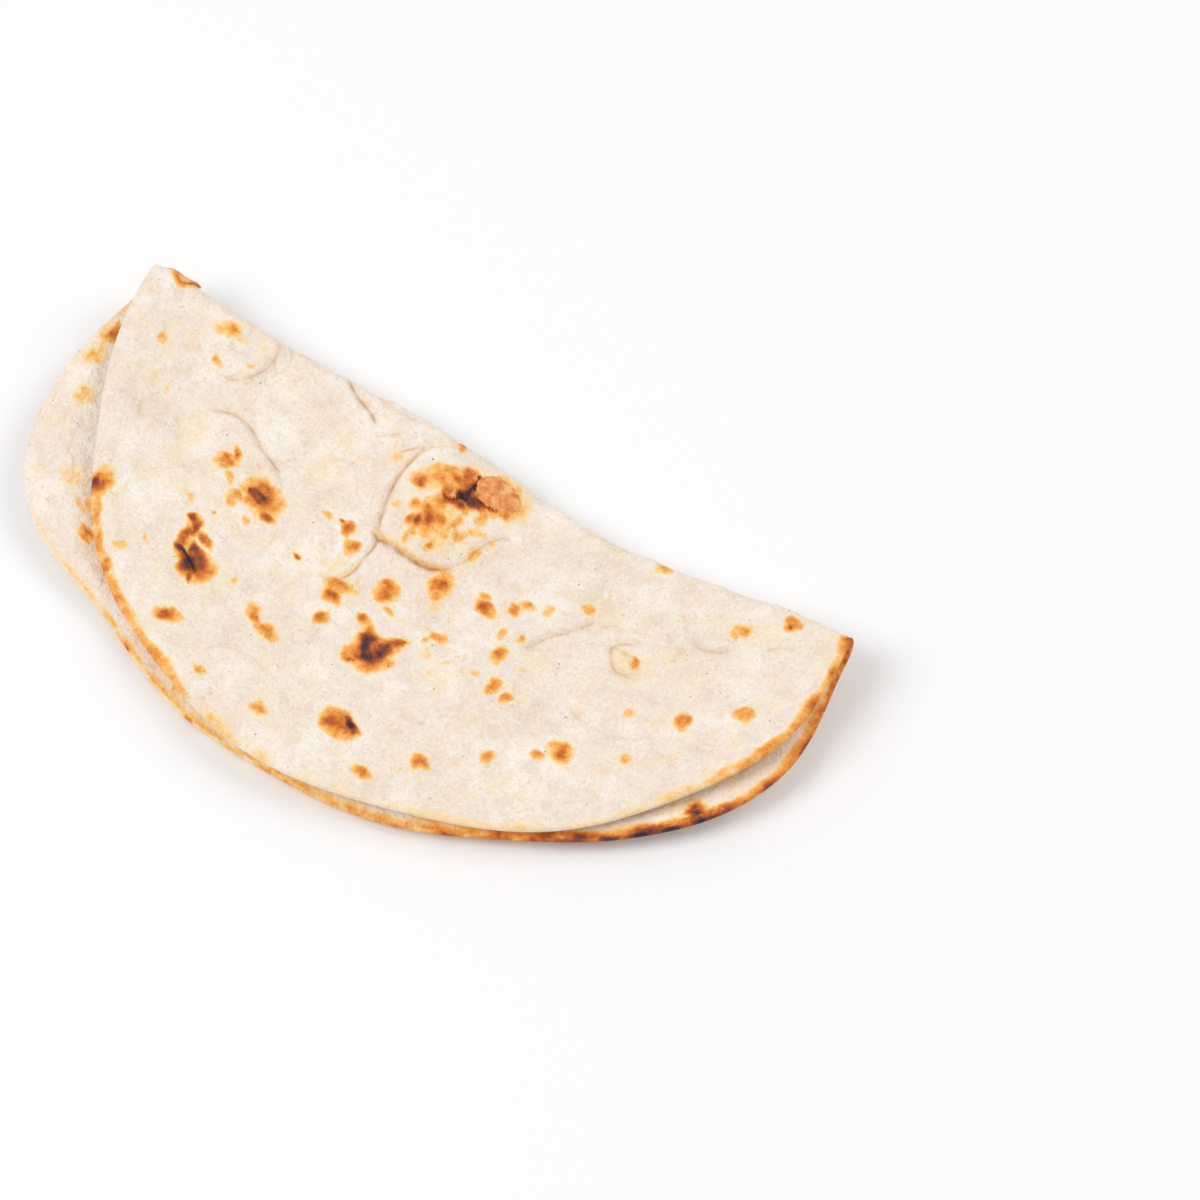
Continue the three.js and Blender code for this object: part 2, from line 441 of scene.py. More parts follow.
def crease_relief(u, v):
    """Height and signed distance of the creases, and how dark the nearest one's painted shade is."""
    height, darkness = np.zeros(u.shape), np.zeros(u.shape)
    nearest = np.full(u.shape, CREASE_REACH)
    strength = np.clip(CREASE_STRENGTH * uneven(u, v, 1, CREASE_PATCHES, 17), FAINTEST, 1)
    for points, groove, groove_width, lip, lip_width, lip_side, dark in CREASES.values():
        distance, side, share = from_line(smooth_line(points), u, v)
        fade = smoothstep(np.minimum(share, 1 - share), 0, END_FADE)
        raised = lip * np.clip(side * lip_side, 0, 1) * smoothstep(distance, 0, LIP_START)
        height += fade * raised * bell(distance, lip_width)
        height -= fade * groove * strength * bell(distance, groove_width)
        closer = distance < np.abs(nearest)
        nearest = np.where(closer, distance * side, nearest)
        nearby = 1 - smoothstep(distance, *DARKNESS_ENDS)
        darkness = np.where(closer, dark * fade * strength * nearby, darkness)
    return height, nearest, darkness


crease_height, crease_distance, crease_darkness = crease_relief(outer.u, outer.v)
print("the creases go", round(-crease_height.min(), 2), "mm deep")

# %% [markdown]
# ## The browning
# How far each place is baked is one number, the heat: 0 is pale dough, about 0.4 is golden, 0.6 is
# brown, 0.8 is dark and 1 is burnt black. It is kept as an attribute on the mesh's points, and the
# material turns it into colour. Each scorch is an uneven oval: noise bends the places it is measured
# at, so that no two come out alike. A few entries, noted where they stand, are painted shade, wholly
# or in part, drawn with the same heat instead of browning.

# %% Where the scorches are
TOP_SCORCHES = {  # middle u and v, half length, half width, turn in degrees, heat
    "cracked char on the left": [
        (-50, 61, 6, 2.5, 85, 0.57), (-43, 66, 6, 4.5, 30, 0.66), (-45, 60, 3.5, 1.5, 25, 0.54),
        (-46, 67, 6, 2.5, 38, 0.62), (-49, 59, 2.5, 1.5, 80, 0.80), (-46, 64, 3.5, 2, 50, 0.70),
        (-49, 65, 3, 1.5, 20, 0.80), (-44, 67, 4, 2.5, 38, 0.84), (-42, 70, 2.5, 1, 60, 0.58),
        (-51, 57, 3, 1.5, 30, 0.68),
    ],
    "oval above it, and the trail to it": [
        (-41, 42, 7.5, 5, 25, 0.53), (-42, 42, 4, 2, 25, 0.72), (-37, 46, 3, 1.5, 30, 0.58),
        (-42, 39, 3, 2.5, 0, 0.50), (-55, 38, 4, 2.5, 0, 0.46), (-54, 35, 3.5, 1.5, 40, 0.45),
        (-51, 42, 2.5, 1, 55, 0.32), (-47, 45, 2.5, 1.5, 0, 0.40), (-47, 47, 2.5, 1.5, 30, 0.32),
        (-40, 50, 1.5, 1.5, 0, 0.36), (-56, 52, 2.5, 1.5, 45, 0.26), (-33, 65, 1.5, 2, 0, 0.26),
        (-58, 67, 2, 1, 30, 0.24), (-49, 51, 2.5, 1, 0, 0.16), (-48, 53, 1, 0.5, 0, 0.50),
    ],
    "left end of the fold": [
        (-77, 7, 4.5, 3, -20, 0.26), (-76, 7, 3, 2.5, -20, 0.38), (-72, 8, 3, 1.5, 0, 0.22),
        (-74, 16, 3, 1.5, 30, 0.30), (-66, 13, 1.5, 1.5, 0, 0.26), (-89, 19, 2, 2.5, 0, 0.28),
        (-66, 7, 1.5, 1, 0, 0.18), (-84, 28, 2, 1, 0, 0.20), (-80, 30, 2, 0.5, 0, 0.24),
        (-81, 12, 4, 3, 0, 0.08),
    ],
    "stripe on the left end of the fold": [
        (-99, 1, 2.5, 1.5, 0, 0.42), (-96, 3, 3, 1.5, 20, 0.46), (-93, 3, 2, 1.5, 0, 0.48),
    ],
    "upper browning of the burst blister": [
        (-5, 14, 9, 4, -30, 0.38), (-10, 18, 3, 2.5, 0, 0.54), (-10, 18, 2, 1.5, 0, 0.60),
        (-6, 15, 3, 1.5, -20, 0.42), (-2, 16, 2.5, 1.5, -40, 0.52), (1, 11, 5, 3, 65, 0.56),
        (-1, 13, 3, 2, -40, 0.50), (2, 18, 4, 2, 0, 0.70), (-1, 19, 3, 2, 0, 0.50),
        (2, 15, 2.5, 2, 0, 1.0), (4, 15, 3, 2.5, 0, 0.86), (7, 15, 3, 1.5, -10, 0.62),
        (9, 17, 2, 2.5, 0, 0.38), (10, 9, 9, 6.5, 0, 0.34), (12, 13, 4.5, 1.5, -25, 0.46),
    ],
    "lower browning of the burst blister": [
        (1, 24, 11, 7, 70, 0.20), (-2, 26, 7, 5, 30, 0.36), (-2, 21, 3.5, 2.5, 0, 0.42),
        (-2, 25, 5.5, 3.5, 60, 0.50), (-4, 27, 3, 1.5, 75, 0.58), (-2, 25, 2, 1.5, 40, 0.62),
        (1, 24, 2, 1.5, 0, 0.58), (-7, 24, 2, 2, 0, 0.44), (-6, 28, 2.5, 2, 60, 0.44),
        (-4, 31, 1.5, 3, 0, 0.44), (1, 27, 2.5, 1.5, 20, 0.38), (4, 26, 1.5, 2.5, 0, 0.44),
        (5, 22, 1.5, 3, 20, 0.36), (7, 24, 1.5, 3, 30, 0.34), (2, 31, 1.5, 2, 0, 0.46),
        (12, 25, 1.5, 3, 10, 0.33), (9, 21, 2, 1.5, 0, 0.26), (-8, 3, 4, 1.5, 50, 0.44),
        # (22, 2) is a faint tan of painted shade, as of a small dimple, not browning.
        (-11, 26, 2, 1.5, 0, 0.20), (22, 2, 2.5, 1.5, 60, 0.16), (11, 20, 2, 1, -50, 0.22),
        (14, 20, 1.5, 1, 0, 0.24),
    ],
    "bubble beside it": [
        (-18, 38, 3, 2, 60, 0.56), (-14, 42, 2.5, 2, 60, 0.46), (-24, 38, 3, 1, 10, 0.30),
        (-24, 51, 1.5, 1, 0, 0.68), (-14, 48, 2, 4, 20, 0.14), (-20, 37, 1, 1, 0, 0.60),
        (-19, 15, 2, 2, 0, 0.22),
    ],
    "row in front of the blister": [
        (-11, 53, 3.5, 2.5, 0, 0.47), (-10, 56, 3.5, 2, 20, 0.50), (-7, 52, 2.5, 1.5, 0, 0.32),
        (-9, 62, 2.5, 2.5, 0, 0.50), (0, 48, 3.5, 3.5, 0, 0.50), (0, 46, 2.5, 3, 0, 0.50),
        (1, 48, 2, 2.5, 20, 0.57), (4, 52, 1.5, 1.5, 0, 0.36), (10, 38, 3.5, 5, 5, 0.50),
        (10, 37, 2, 3, 0, 0.56), (12, 44, 2, 3, 0, 0.20), (-23, 70, 3.5, 2, 40, 0.50),
        (-18, 72, 4, 2, 5, 0.50),
    ],
    "black char and its arm": [
        (7, 64, 6, 5.5, 0, 0.62), (5, 62, 4.5, 3, 50, 0.72), (9, 62, 3, 3.5, 0, 0.82),
        (6, 64, 4.5, 2, 45, 0.94), (11, 58, 3, 2.5, -45, 0.56), (2, 66, 2, 3, 0, 0.48),
        (4, 68, 3, 1.5, 0, 0.50), (3, 59, 2, 2, 0, 0.50), (0, 57, 3, 2, 20, 0.52),
        (18, 51, 3, 1.5, 10, 0.38), (16, 53, 1, 2, 0, 0.34), (18, 57, 2.5, 2, 0, 0.18),
    ],
    "golden spots right of the blister": [
        (23, 37, 4, 2.5, 20, 0.51), (21, 34, 2, 2, 0, 0.40), (29, 33, 2, 2.5, 0, 0.46),
        (31, 30, 2.5, 2, 0, 0.36), (36, 28, 2.5, 2.5, 0, 0.28), (44, 22, 2.5, 2.5, 0, 0.28),
        (30, 41, 1.5, 2, 0, 0.38), (35, 40, 1.5, 1.5, 0, 0.36), (33, 47, 2.5, 3.5, 0, 0.48),
        (37, 56, 2, 3.5, 0, 0.48), (41, 57, 1.5, 2, 0, 0.42), (40, 48, 1.5, 1.5, 0, 0.22),
        (31, 55, 2, 1.5, 0, 0.22), (22, 61, 1.5, 1, 0, 0.20), (24, 56, 1.5, 1.5, 0, 0.20),
        (8, 52, 1.5, 1, 0, 0.18), (62, 32, 1.5, 2.5, 0, 0.26), (64, 28, 3, 3, 0, 0.10),
        # (58, 31) is faint tan beside the small bubble: partly painted shade of it, partly browning.
        (58, 31, 3, 4.5, 0, 0.12),
    ],
    "right end of the fold": [
        (54, 4, 2.5, 1.5, 0, 0.34), (80, 12, 2, 2.5, 40, 0.42), (79, 14, 1.5, 1.5, 0, 0.36),
        (89, 6, 2.5, 2.5, 0, 0.50), (89, 7, 1, 1, 0, 0.66),
    ],
    "left rim": [
        (-76, 61, 5, 3, 66, 0.54), (-77, 61, 3, 1.5, 66, 0.78), (-72, 68, 6, 1.5, 50, 0.34),
        (-67, 74, 6, 1.5, 45, 0.38), (-61, 79, 3, 2, 40, 0.50),
    ],
    "faint washes": [
        (-66, 34, 12, 6, 70, 0.10), (-58, 48, 9, 6, 0, 0.08), (-30, 27, 10, 6, 20, 0.09),
        (-46, 16, 12, 5, 10, 0.08), (61, 32, 8, 6, 20, 0.15), (24, 60, 12, 5, 0, 0.08),
        (70, 24, 9, 5, 0, 0.08), (-20, 60, 9, 5, 30, 0.08), (-84, 34, 5, 10, 0, 0.08),
    ],
    "front": [
        (60, 62, 4, 3, 30, 0.52), (56, 66, 2.5, 2, 0, 0.36), (-40, 82, 4.5, 2.5, -20, 0.50),
        (12, 84, 6, 4, 15, 0.56), (15, 83, 3.5, 2, 30, 0.86), (-6, 91, 3, 2, 0, 0.40),
        (34, 82, 3, 2.5, 0, 0.44), (46, 72, 2.5, 2, 0, 0.34), (80, 40, 3, 2, 60, 0.46),
        (74, 56, 2.5, 2, 0, 0.34), (68, 44, 2, 1.5, 0, 0.28), (92, 32, 3, 2, 0, 0.42),
        (-62, 72, 2.5, 2, 0, 0.28), (24, 92, 3, 2, 0, 0.42), (-24, 90, 2.5, 2, 0, 0.36),
    ],
}
BURNT_LINES = [  # points, half width, heat
    ([(1, 16), (3, 13), (3, 10), (2, 8)], 0.8, 0.95), ([(-3, 18), (-1, 18), (1, 16)], 0.5, 0.8),
    # This line is painted shade under the loose skin's edge, partly the burst's burnt arm.
    ([(5, 14), (8, 14), (11, 13)], 0.6, 0.8),
    ([(-45, 42), (-43, 43), (-40, 44)], 1.3, 0.76),
    ([(7, 62), (9, 60), (12, 57)], 1.6, 0.66),
    # The next two are yellow painted shade, under the blister's front and below the bubble beside it.
    ([(-13, 34), (-8, 35), (-2, 35), (3, 35), (8, 33)], 1.3, 0.20),
    ([(-10, 42), (-11, 48), (-13, 51), (-18, 53)], 1.6, 0.14),
    ([(61, 29), (62, 31), (62, 33)], 1.2, 0.42),
]
SPLIT_LINES = [  # points, half width: the crust parted here, and shows paler crumb
    ([(-49, 61), (-48, 63), (-47, 65)], 0.9), ([(-47, 61), (-44, 62), (-41, 62)], 0.5),
]
print(sum(len(group) for group in TOP_SCORCHES.values()), "scorches,", len(BURNT_LINES), "burnt lines")

# %% Heat of the scorches and the burnt lines
SPLIT_PALENESS = 0.45
SCORCH_CORE, SCORCH_EDGE = 0.22, 1.42
OUTLINE_BENDS = (0.9, 3.6), (0.4, 1.5)  # how far noise bends an outline, and the noise's size
MOTTLE = 0.3, 2.6  # how much, and over what size, the heat varies inside a scorch
LINE_CORE, LINE_EDGE = 0.1, 1.5  # a line fades from this many mm to this many half widths
LINE_UNEVENNESS = 0.4, 1.6


def turned(u, v, degrees):
    """Places measured along and across a direction that is turned from u towards v."""
    cos, sin = math.cos(math.radians(degrees)), math.sin(math.radians(degrees))
    return u * cos + v * sin, v * cos - u * sin


def oval_distance(u, v, half_long, half_wide, degrees):
    """0 in the middle of an oval, from which u and v are measured, and 1 on its outline."""
    along, across = turned(u, v, degrees)
    return np.hypot(along / half_long, across / half_wide)


def bent(places, u, v, seed):
    """Places along one direction, shifted by noise."""
    shifts = (amount * ripple(u, v, size, seed + k) for k, (amount, size) in enumerate(OUTLINE_BENDS))
    return sum(shifts, places)


def scorch_heat(scorches, skin, seed):
    """The hottest of the scorches at each place, with uneven outlines and an uneven middle."""
    u, v = skin.u, skin.v
    bent_u, bent_v = bent(u, u, v, seed), bent(v, u, v, seed + 2)
    heat = np.zeros(u.shape)
    for at_u, at_v, half_long, half_wide, turn, hottest in scorches:
        distance = oval_distance(bent_u - at_u, bent_v - at_v, half_long, half_wide, turn)
        share = 1 - smoothstep(distance, SCORCH_CORE, SCORCH_EDGE)
        heat = np.maximum(heat, hottest * share)
    return heat * uneven(u, v, *MOTTLE, seed + 4)


def nearness(points, half_width, u, v):
    """1 on a line, falling to 0 beside it and towards its ends, by uneven amounts."""
    distance, _, share = from_line(smooth_line(points), u, v)
    width = half_width * narrowing(share, plumpness=6, least=0.25)
    return 1 - smoothstep(distance, LINE_CORE, LINE_EDGE * width * uneven(u, v, *LINE_UNEVENNESS, 29))


def top_heat(skin):
    """The scorches of the top layer, with the burnt lines and without the splits."""
    scorches = [scorch for group in TOP_SCORCHES.values() for scorch in group]
    heat = scorch_heat(scorches, skin, seed=20)
    for points, half_width in SPLIT_LINES:
        heat *= 1 - SPLIT_PALENESS * nearness(points, half_width, skin.u, skin.v)
    for points, half_width, hottest in BURNT_LINES:
        heat = np.maximum(heat, hottest * nearness(points, half_width, skin.u, skin.v))
    return heat


outer_heat = top_heat(outer)
print("the hottest place of the top layer has a heat of", round(float(outer_heat.max()), 2))

# %% [markdown]
# ## Browning that isn't placed by hand
# The bottom layer's faces and the inner faces are seen little, so their scorches are drawn at random,
# with the same mixture of sizes: many faint small ones, a few brown ones, and the odd char. The rim is
# thin and stands out in the oven's heat, so it browns in stretches, which a few values round the bread
# give. A fixed seed keeps every draw the same.

# %% Scorches of the bottom layer and the inner faces, and the rim
UNDERSIDE_SCORCHES, INNER_SCORCHES = 70, 60
LEFT_SLIVER_SCORCHES = [  # on the bottom layer's inner face, where it shows past the top layer
    (-102, -23, 4, 2.5, 60, 0.55), (-102, -31, 4, 3, 60, 0.32), (-97, -42, 4.5, 3.5, 50, 0.27),
    (-85, -62, 5, 4, 0, 0.20), (-98, -52, 6, 4, 70, 0.12), (-72, -73, 3, 2, 0, 0.50),
    (-77, -67, 3, 2, 0, 0.34),
]
OUTER_RIM_HEAT = np.array([  # at the angles of the rim's radii
    0.46, 0.36, 0.14, 0.16, 0.10, 0.22, 0.34, 0.10, 0.00,
    0.05, 0.00, 0.00, 0.24, 0.20, 0.34, 0.40, 0.82, 0.56,
])
INNER_RIM_HEAT = np.array([
    0.42, 0.34, 0.10, 0.20, 0.10, 0.20, 0.35, 0.30, 0.05,
    0.32, 0.00, 0.10, 0.24, 0.25, 0.30, 0.40, 0.62, 0.44,
])
RIM_BROWNING_WIDTH, NARROWEST_BROWNING = 2.8, 0.8
RIM_WIDTH_UNEVENNESS, RIM_HEAT_UNEVENNESS = (0.7, 9), (0.6, 5)
STRIP_HALF = 104  # how far random scorches are drawn along the fold, each way
RANDOM_HEATS, COOLING = (0.18, 0.9), (0.5, 1)  # two draws are multiplied, so that most are cool
SMALLEST, LARGER_WITH_HEAT = 1.2, 5.0
SIZE_DRAWS, WIDTH_SHARES = (0.6, 1.2), (0.5, 0.9)


def random_scorches(count, v_low, v_high, seed):
    """Scorches over a strip of the bread: mostly faint and small, a few dark and large."""
    rng = np.random.default_rng(seed)
    made = []
    for _ in range(count):
        heat = rng.uniform(*RANDOM_HEATS) * rng.uniform(*COOLING)
        size = (SMALLEST + LARGER_WITH_HEAT * heat) * rng.uniform(*SIZE_DRAWS)
        at_u, at_v = rng.uniform(-STRIP_HALF, STRIP_HALF), rng.uniform(v_low, v_high)
        half_wide, turn = size * rng.uniform(*WIDTH_SHARES), rng.uniform(0, 180)
        made.append((at_u, at_v, size, half_wide, turn, heat))
    return made


def rim_heat(values, skin, seed):
    """Browning along the rim, in a band of uneven width."""
    depth = (1 - skin.reach) * rim_radius(skin.angle)
    width = RIM_BROWNING_WIDTH * uneven(skin.u, skin.v, *RIM_WIDTH_UNEVENNESS, seed)
    patches = uneven(skin.u, skin.v, *RIM_HEAT_UNEVENNESS, seed + 1)
    band = 1 - smoothstep(depth, 0, np.maximum(width, NARROWEST_BROWNING))
    return np.clip(smooth_ring(values, skin.angle) * patches * band, 0, 1)


underside_scorches = random_scorches(UNDERSIDE_SCORCHES, v_low=-100, v_high=-6, seed=5)
outer_heat = np.maximum(outer_heat, scorch_heat(underside_scorches, outer, seed=40))
outer_heat = np.maximum(outer_heat, rim_heat(OUTER_RIM_HEAT, outer, seed=60))
inner_scorches = random_scorches(INNER_SCORCHES, v_low=-100, v_high=100, seed=6)
inner_heat = scorch_heat(inner_scorches + LEFT_SLIVER_SCORCHES, inner, seed=80)
inner_heat = np.maximum(inner_heat, rim_heat(INNER_RIM_HEAT, inner, seed=70))
print("share of the outer face that is golden or darker:", round(float((outer_heat > 0.4).mean()), 3))

# %% [markdown]
# ## The relief of the whole sheet
# Shallow bubbles are low domes, and noise at several sizes gives the unevenness of hand-stretched
# dough. Each scorch sits on a little bubble of its own, because what stands up is what burns. The
# underside was pressed on the table, so it only has hollows, and the inner faces stay nearly smooth,
# so that the layers can lie close together without meeting. How deep a place of the top lies is kept
# as an attribute too, and the material paints shade there, a little darker in the hollows.

# %% Bubbles, undulations and streaks
BUBBLES = {  # middle (u, v), half sizes, turn in degrees, height, easing share
    "beside the blister": ((-24, 40), (19, 11), 24, 1.3, 0.7),
    "wide, on the left": ((-52, 48), (26, 24), 10, 1.5, 0.8),
    "at the fold": ((-67, 14), (13, 9), -15, 1.0, 0.8),
    "small, on the right": ((58, 33), (8, 5), 20, 1.5, 0.6),
    "wide, on the right": ((33, 62), (25, 17), -18, 1.2, 0.8),
    "near the right end": ((82, 22), (14, 9), -35, 0.9, 0.8),
    "near the left end": ((-88, 30), (9, 16), -20, 0.7, 0.8),
}
UNDULATIONS = {26: 0.45, 13: 0.48, 6.5: 0.36, 3.4: 0.18, 1.9: 0.08}  # size: height
STREAK_SIZE, STREAK_STRETCH, STREAK_TURN, STREAK_HEIGHT = 2.6, 3.5, 65, 0.16
STREAKED_REGIONS, REGION_ENDS = 22, (-0.2, 0.3)  # their size, and the noise over which they fade
TOP_SEED, STREAK_SEED = 100, 110


def undulation(u, v, seed):
    sizes = enumerate(UNDULATIONS.items())
    return sum(height * ripple(u, v, size, seed + k) for k, (size, height) in sizes)


def streaks(u, v, seed):
    """Fine ridges where the dough was pulled, in some regions only."""
    along, across = turned(u, v, STREAK_TURN)
    region = smoothstep(ripple(u, v, STREAKED_REGIONS, seed), *REGION_ENDS)
    return STREAK_HEIGHT * region * ripple(along / STREAK_STRETCH, across, STREAK_SIZE, seed + 1)


def bubble_height(bubble, u, v):
    (at_u, at_v), (half_long, half_wide), turn, height, easing = bubble
    distance = oval_distance(u - at_u, v - at_v, half_long, half_wide, turn)
    return height * (1 - smoothstep(distance, 1 - easing, 1))


def top_relief(u, v):
    """Height of the top layer's shown face over a plain sheet, without its creases and its burst."""
    bubbles = sum(bubble_height(bubble, u, v) for bubble in BUBBLES.values())
    dough = undulation(u, v, TOP_SEED) + streaks(u, v, STREAK_SEED)
    return dough + blister_height(u, v) + bubbles


top_height = top_relief(outer.u, outer.v)
print("the top layer rises", round(top_height.max(), 2), "mm over a plain sheet")

# %% Height of the outer and inner faces
# How deep a hollow is sets only how much shade is painted in it.
HOLLOW_DEPTH, STREAKS_IN_HOLLOWS = 0.6, 2
SCORCH_DOME, DOME_HEATS = 0.3, (0.1, 0.5)
BOTTOM_HOLLOWS, BOTTOM_SEED = 0.5, 200
TOP_STARTS = -4, 3  # v, over which the bottom's relief turns into the top's
INNER_SMOOTHNESS, INNER_LIMIT, INNER_SEED = 0.5, 0.18, 300
INNER_BUMPS_START = 8, 20  # distances from the fold over which they set in


def half_thickness(reach):
    taper = smoothstep(reach, RIM_TAPER_FROM, 1)
    return (THICKNESS + (RIM_THICKNESS - THICKNESS) * taper) / 2


def hollowness(u, v):
    """From 0 to 1, how deep each place of the shown face lies in a hollow, where shade is painted."""
    depth = -undulation(u, v, TOP_SEED) - STREAKS_IN_HOLLOWS * streaks(u, v, STREAK_SEED)
    return smoothstep(depth, 0, HOLLOW_DEPTH)


top_height = top_height + crease_height - burst_depth(outer.u, outer.v)
top_height += SCORCH_DOME * smoothstep(outer_heat, *DOME_HEATS)
bottom_height = -BOTTOM_HOLLOWS * np.abs(undulation(outer.u, outer.v, BOTTOM_SEED))
to_top = smoothstep(outer.v, *TOP_STARTS)
# The top's hollows, where the material paints shade.
outer_hollow_shade = to_top * hollowness(outer.u, outer.v)
outer_w = half_thickness(outer.reach) + to_top * top_height + (1 - to_top) * bottom_height
inner_bumps = INNER_SMOOTHNESS * undulation(inner.u, inner.v, INNER_SEED)
inner_bumps *= smoothstep(np.abs(inner.v), *INNER_BUMPS_START)
inner_w = -half_thickness(inner.reach) - np.minimum(inner_bumps, INNER_LIMIT)
print("outer face stands", round(outer_w.min(), 2), "to", round(outer_w.max(), 2), "mm above mid-sheet")

# %% [markdown]
# ## The flat mesh
# The two skins are joined round the rim by rings of points that follow a half circle, so the rim is
# rounded. The inner skin has half as many points on its border, so each of them takes two of the
# last ring's edges.

# %% All points, with rings of them round the rim
RIM_RING_ANGLES = np.radians([50, 0, -50])
lean_u, lean_v = blister_lean(outer.u, outer.v)
outer_rim, inner_rim = outer.border(), inner.border()


def rim_ring(turn):
    """Points round the rim, turned from the sheet's middle plane towards the outer face."""
    angle = outer.angle[outer_rim]
    radius = rim_radius(angle) + RIM_BULGE * math.cos(turn)
    height = RIM_THICKNESS / 2 * math.sin(turn) * np.ones(len(angle))
    return np.stack([radius * np.cos(angle), radius * np.sin(angle), height], axis=1)


outer_points = np.stack([outer.u + lean_u, outer.v + lean_v, outer_w], axis=1)
inner_points = np.stack([inner.u, inner.v, inner_w], axis=1)
rings = [rim_ring(turn) for turn in RIM_RING_ANGLES]
points = np.concatenate([outer_points, *rings, inner_points])
first_ring = len(outer_points)
ring_size = len(outer_rim)
to_inner = first_ring + ring_size * len(rings)
print(len(points), "points, of which", to_inner - first_ring, "are round the rim")

# %% One closed flat mesh with its attributes
def quads_between(near, far):
    """Four-sided faces between two closed rings that have equally many points."""
    return np.stack([near, np.roll(near, -1), np.roll(far, -1), far], axis=1)


def rim_faces():
    """Quads between the rings, and three triangles for each point of the inner skin's border."""
    step = np.arange(ring_size)
    chains = [outer_rim] + [first_ring + ring_size * k + step for k in range(len(rings))]
    faces = []
    for near, far in zip(chains, chains[1:]):
        faces += quads_between(near, far).tolist()
    last, after = chains[-1], to_inner + inner_rim
    start, middle, end = last[::2], last[1::2], np.roll(last[::2], -1)
    next_after = np.roll(after, -1)
    faces += np.stack([start, middle, after], axis=1).tolist()
    faces += np.stack([middle, next_after, after], axis=1).tolist()
    faces += np.stack([middle, end, next_after], axis=1).tolist()
    return faces


def for_all_points(on_outer, on_inner):
    """Values on the outer skin, its border's repeated for each ring, and those on the inner skin."""
    return np.concatenate([on_outer, np.tile(on_outer[outer_rim], len(rings)), on_inner])


def flat_mesh(name, places, faces, values):
    """A mesh that still lies flat. Each point carries its flat place, and the values by name."""
    mesh = bpy.data.meshes.new(name)
    mesh.from_pydata(places, [], faces)
    flat_place = mesh.attributes.new("flat_place", "FLOAT_VECTOR", "POINT")
    flat_place.data.foreach_set("vector", places.astype(np.float32).ravel())
    for value_name, numbers in values.items():
        attribute = mesh.attributes.new(value_name, "FLOAT", "POINT")
        attribute.data.foreach_set("value", numbers.astype(np.float32))
    return mesh


def flat_bread():
    inner_faces = inner.faces()[:, ::-1] + to_inner
    faces = outer.faces().tolist() + rim_faces() + inner_faces.tolist()
    nothing = np.zeros(len(inner.u))
    return flat_mesh("flat_bread", points, faces, {
        "reach": for_all_points(outer.reach, inner.reach),
        "browning": for_all_points(outer_heat, inner_heat),
        "hollow": for_all_points(outer_hollow_shade, nothing),
        "crease": for_all_points(crease_distance, nothing + CREASE_REACH),
        "crease_darkness": for_all_points(crease_darkness, nothing),
    })


bread_mesh = flat_bread()
print("the flat mesh has", len(bread_mesh.polygons), "faces")

# %% [markdown]
# ## Formulas as nodes
# The fold and the bread's colours are both formulas, and in Blender a formula is a set of nodes. A
# formula is easier to read as a sum than as a list of links, so a small class stands for a node's
# output: a sum on it adds a Math node to the tree. It works in geometry and shader trees alike.

# %% A wire that can be used in sums, and one method that adds any node
class Wire:
    """The output of a node. A sum on wires adds Math nodes to their tree."""

    def __init__(self, tree, socket):
        self.tree, self.socket = tree, socket

    def math(self, operation, *others):
        return self.tree.math(operation, self, *others)

    def __add__(self, other):
        return self.math("ADD", other)

    def __sub__(self, other):
        return self.math("SUBTRACT", other)

    def __rsub__(self, other):
        return self.tree.math("SUBTRACT", other, self)

    def __mul__(self, other):
        return self.math("MULTIPLY", other)

    def __truediv__(self, other):
        return self.math("DIVIDE", other)

    def __rtruediv__(self, other):
        return self.tree.math("DIVIDE", other, self)

    def __abs__(self):
        return self.math("ABSOLUTE")

    __radd__, __rmul__ = __add__, __mul__

    def rise(self, low, high):
        """0 below low, 1 above high, and an S-shaped rise between them."""
        settings = {"interpolation_type": "SMOOTHSTEP"}
        ends = {"Value": self, "From Min": low, "From Max": high}
        return self.tree.add("ShaderNodeMapRange", settings, ends)


class Tree:
    """A node tree, to which every node is added by the same method."""

    def __init__(self, group):
        self.group = group

    def add(self, kind, settings=None, inputs=(), output=0):
        """Adds a node, sets it, and then gives its inputs their values or links. Inputs are given in
        order, or by identifier. Returns a wire from one of its outputs."""
        node = self.group.nodes.new(kind)
        for name, value in (settings or {}).items():
            if name == "stops":
                self.set_stops(node.color_ramp, value)
            else:
                setattr(node, name, value)
        named = inputs.items() if isinstance(inputs, dict) else enumerate(inputs)
        for key, value in named:
            by_name = {socket.identifier: socket for socket in node.inputs}
            socket = node.inputs[key] if isinstance(key, int) else by_name[key]
            if isinstance(value, Wire):
                self.group.links.new(value.socket, socket)
            else:
                socket.default_value = value
        return Wire(self, node.outputs[output]) if node.outputs else node

    def math(self, operation, *values):
        return self.add("ShaderNodeMath", {"operation": operation}, values)

    @staticmethod
    def set_stops(ramp, stops):
        for place, colour in stops[2:]:
            ramp.elements.new(place)
        for element, (place, colour) in zip(ramp.elements, stops):
            element.position = place
            element.color = colour


practice = Tree(bpy.data.node_groups.new("practice", "ShaderNodeTree"))
falling = 1 - 2 * practice.add("ShaderNodeValue")
print("1 - 2 * value takes", len(falling.tree.group.nodes), "nodes")
bpy.data.node_groups.remove(practice.group)

# %% [markdown]
# ## The fold
# Every point of the flat bread goes round the fold by the same rule, which makes it a job for
# Geometry Nodes: one Set Position node, fed by a formula whose sizes are inputs of the modifier. The
# rule bends the sheet round a half circle, lets the top layer sink on to the bottom one, dents the
# fold's line, and lifts the ends and the rim off the table.

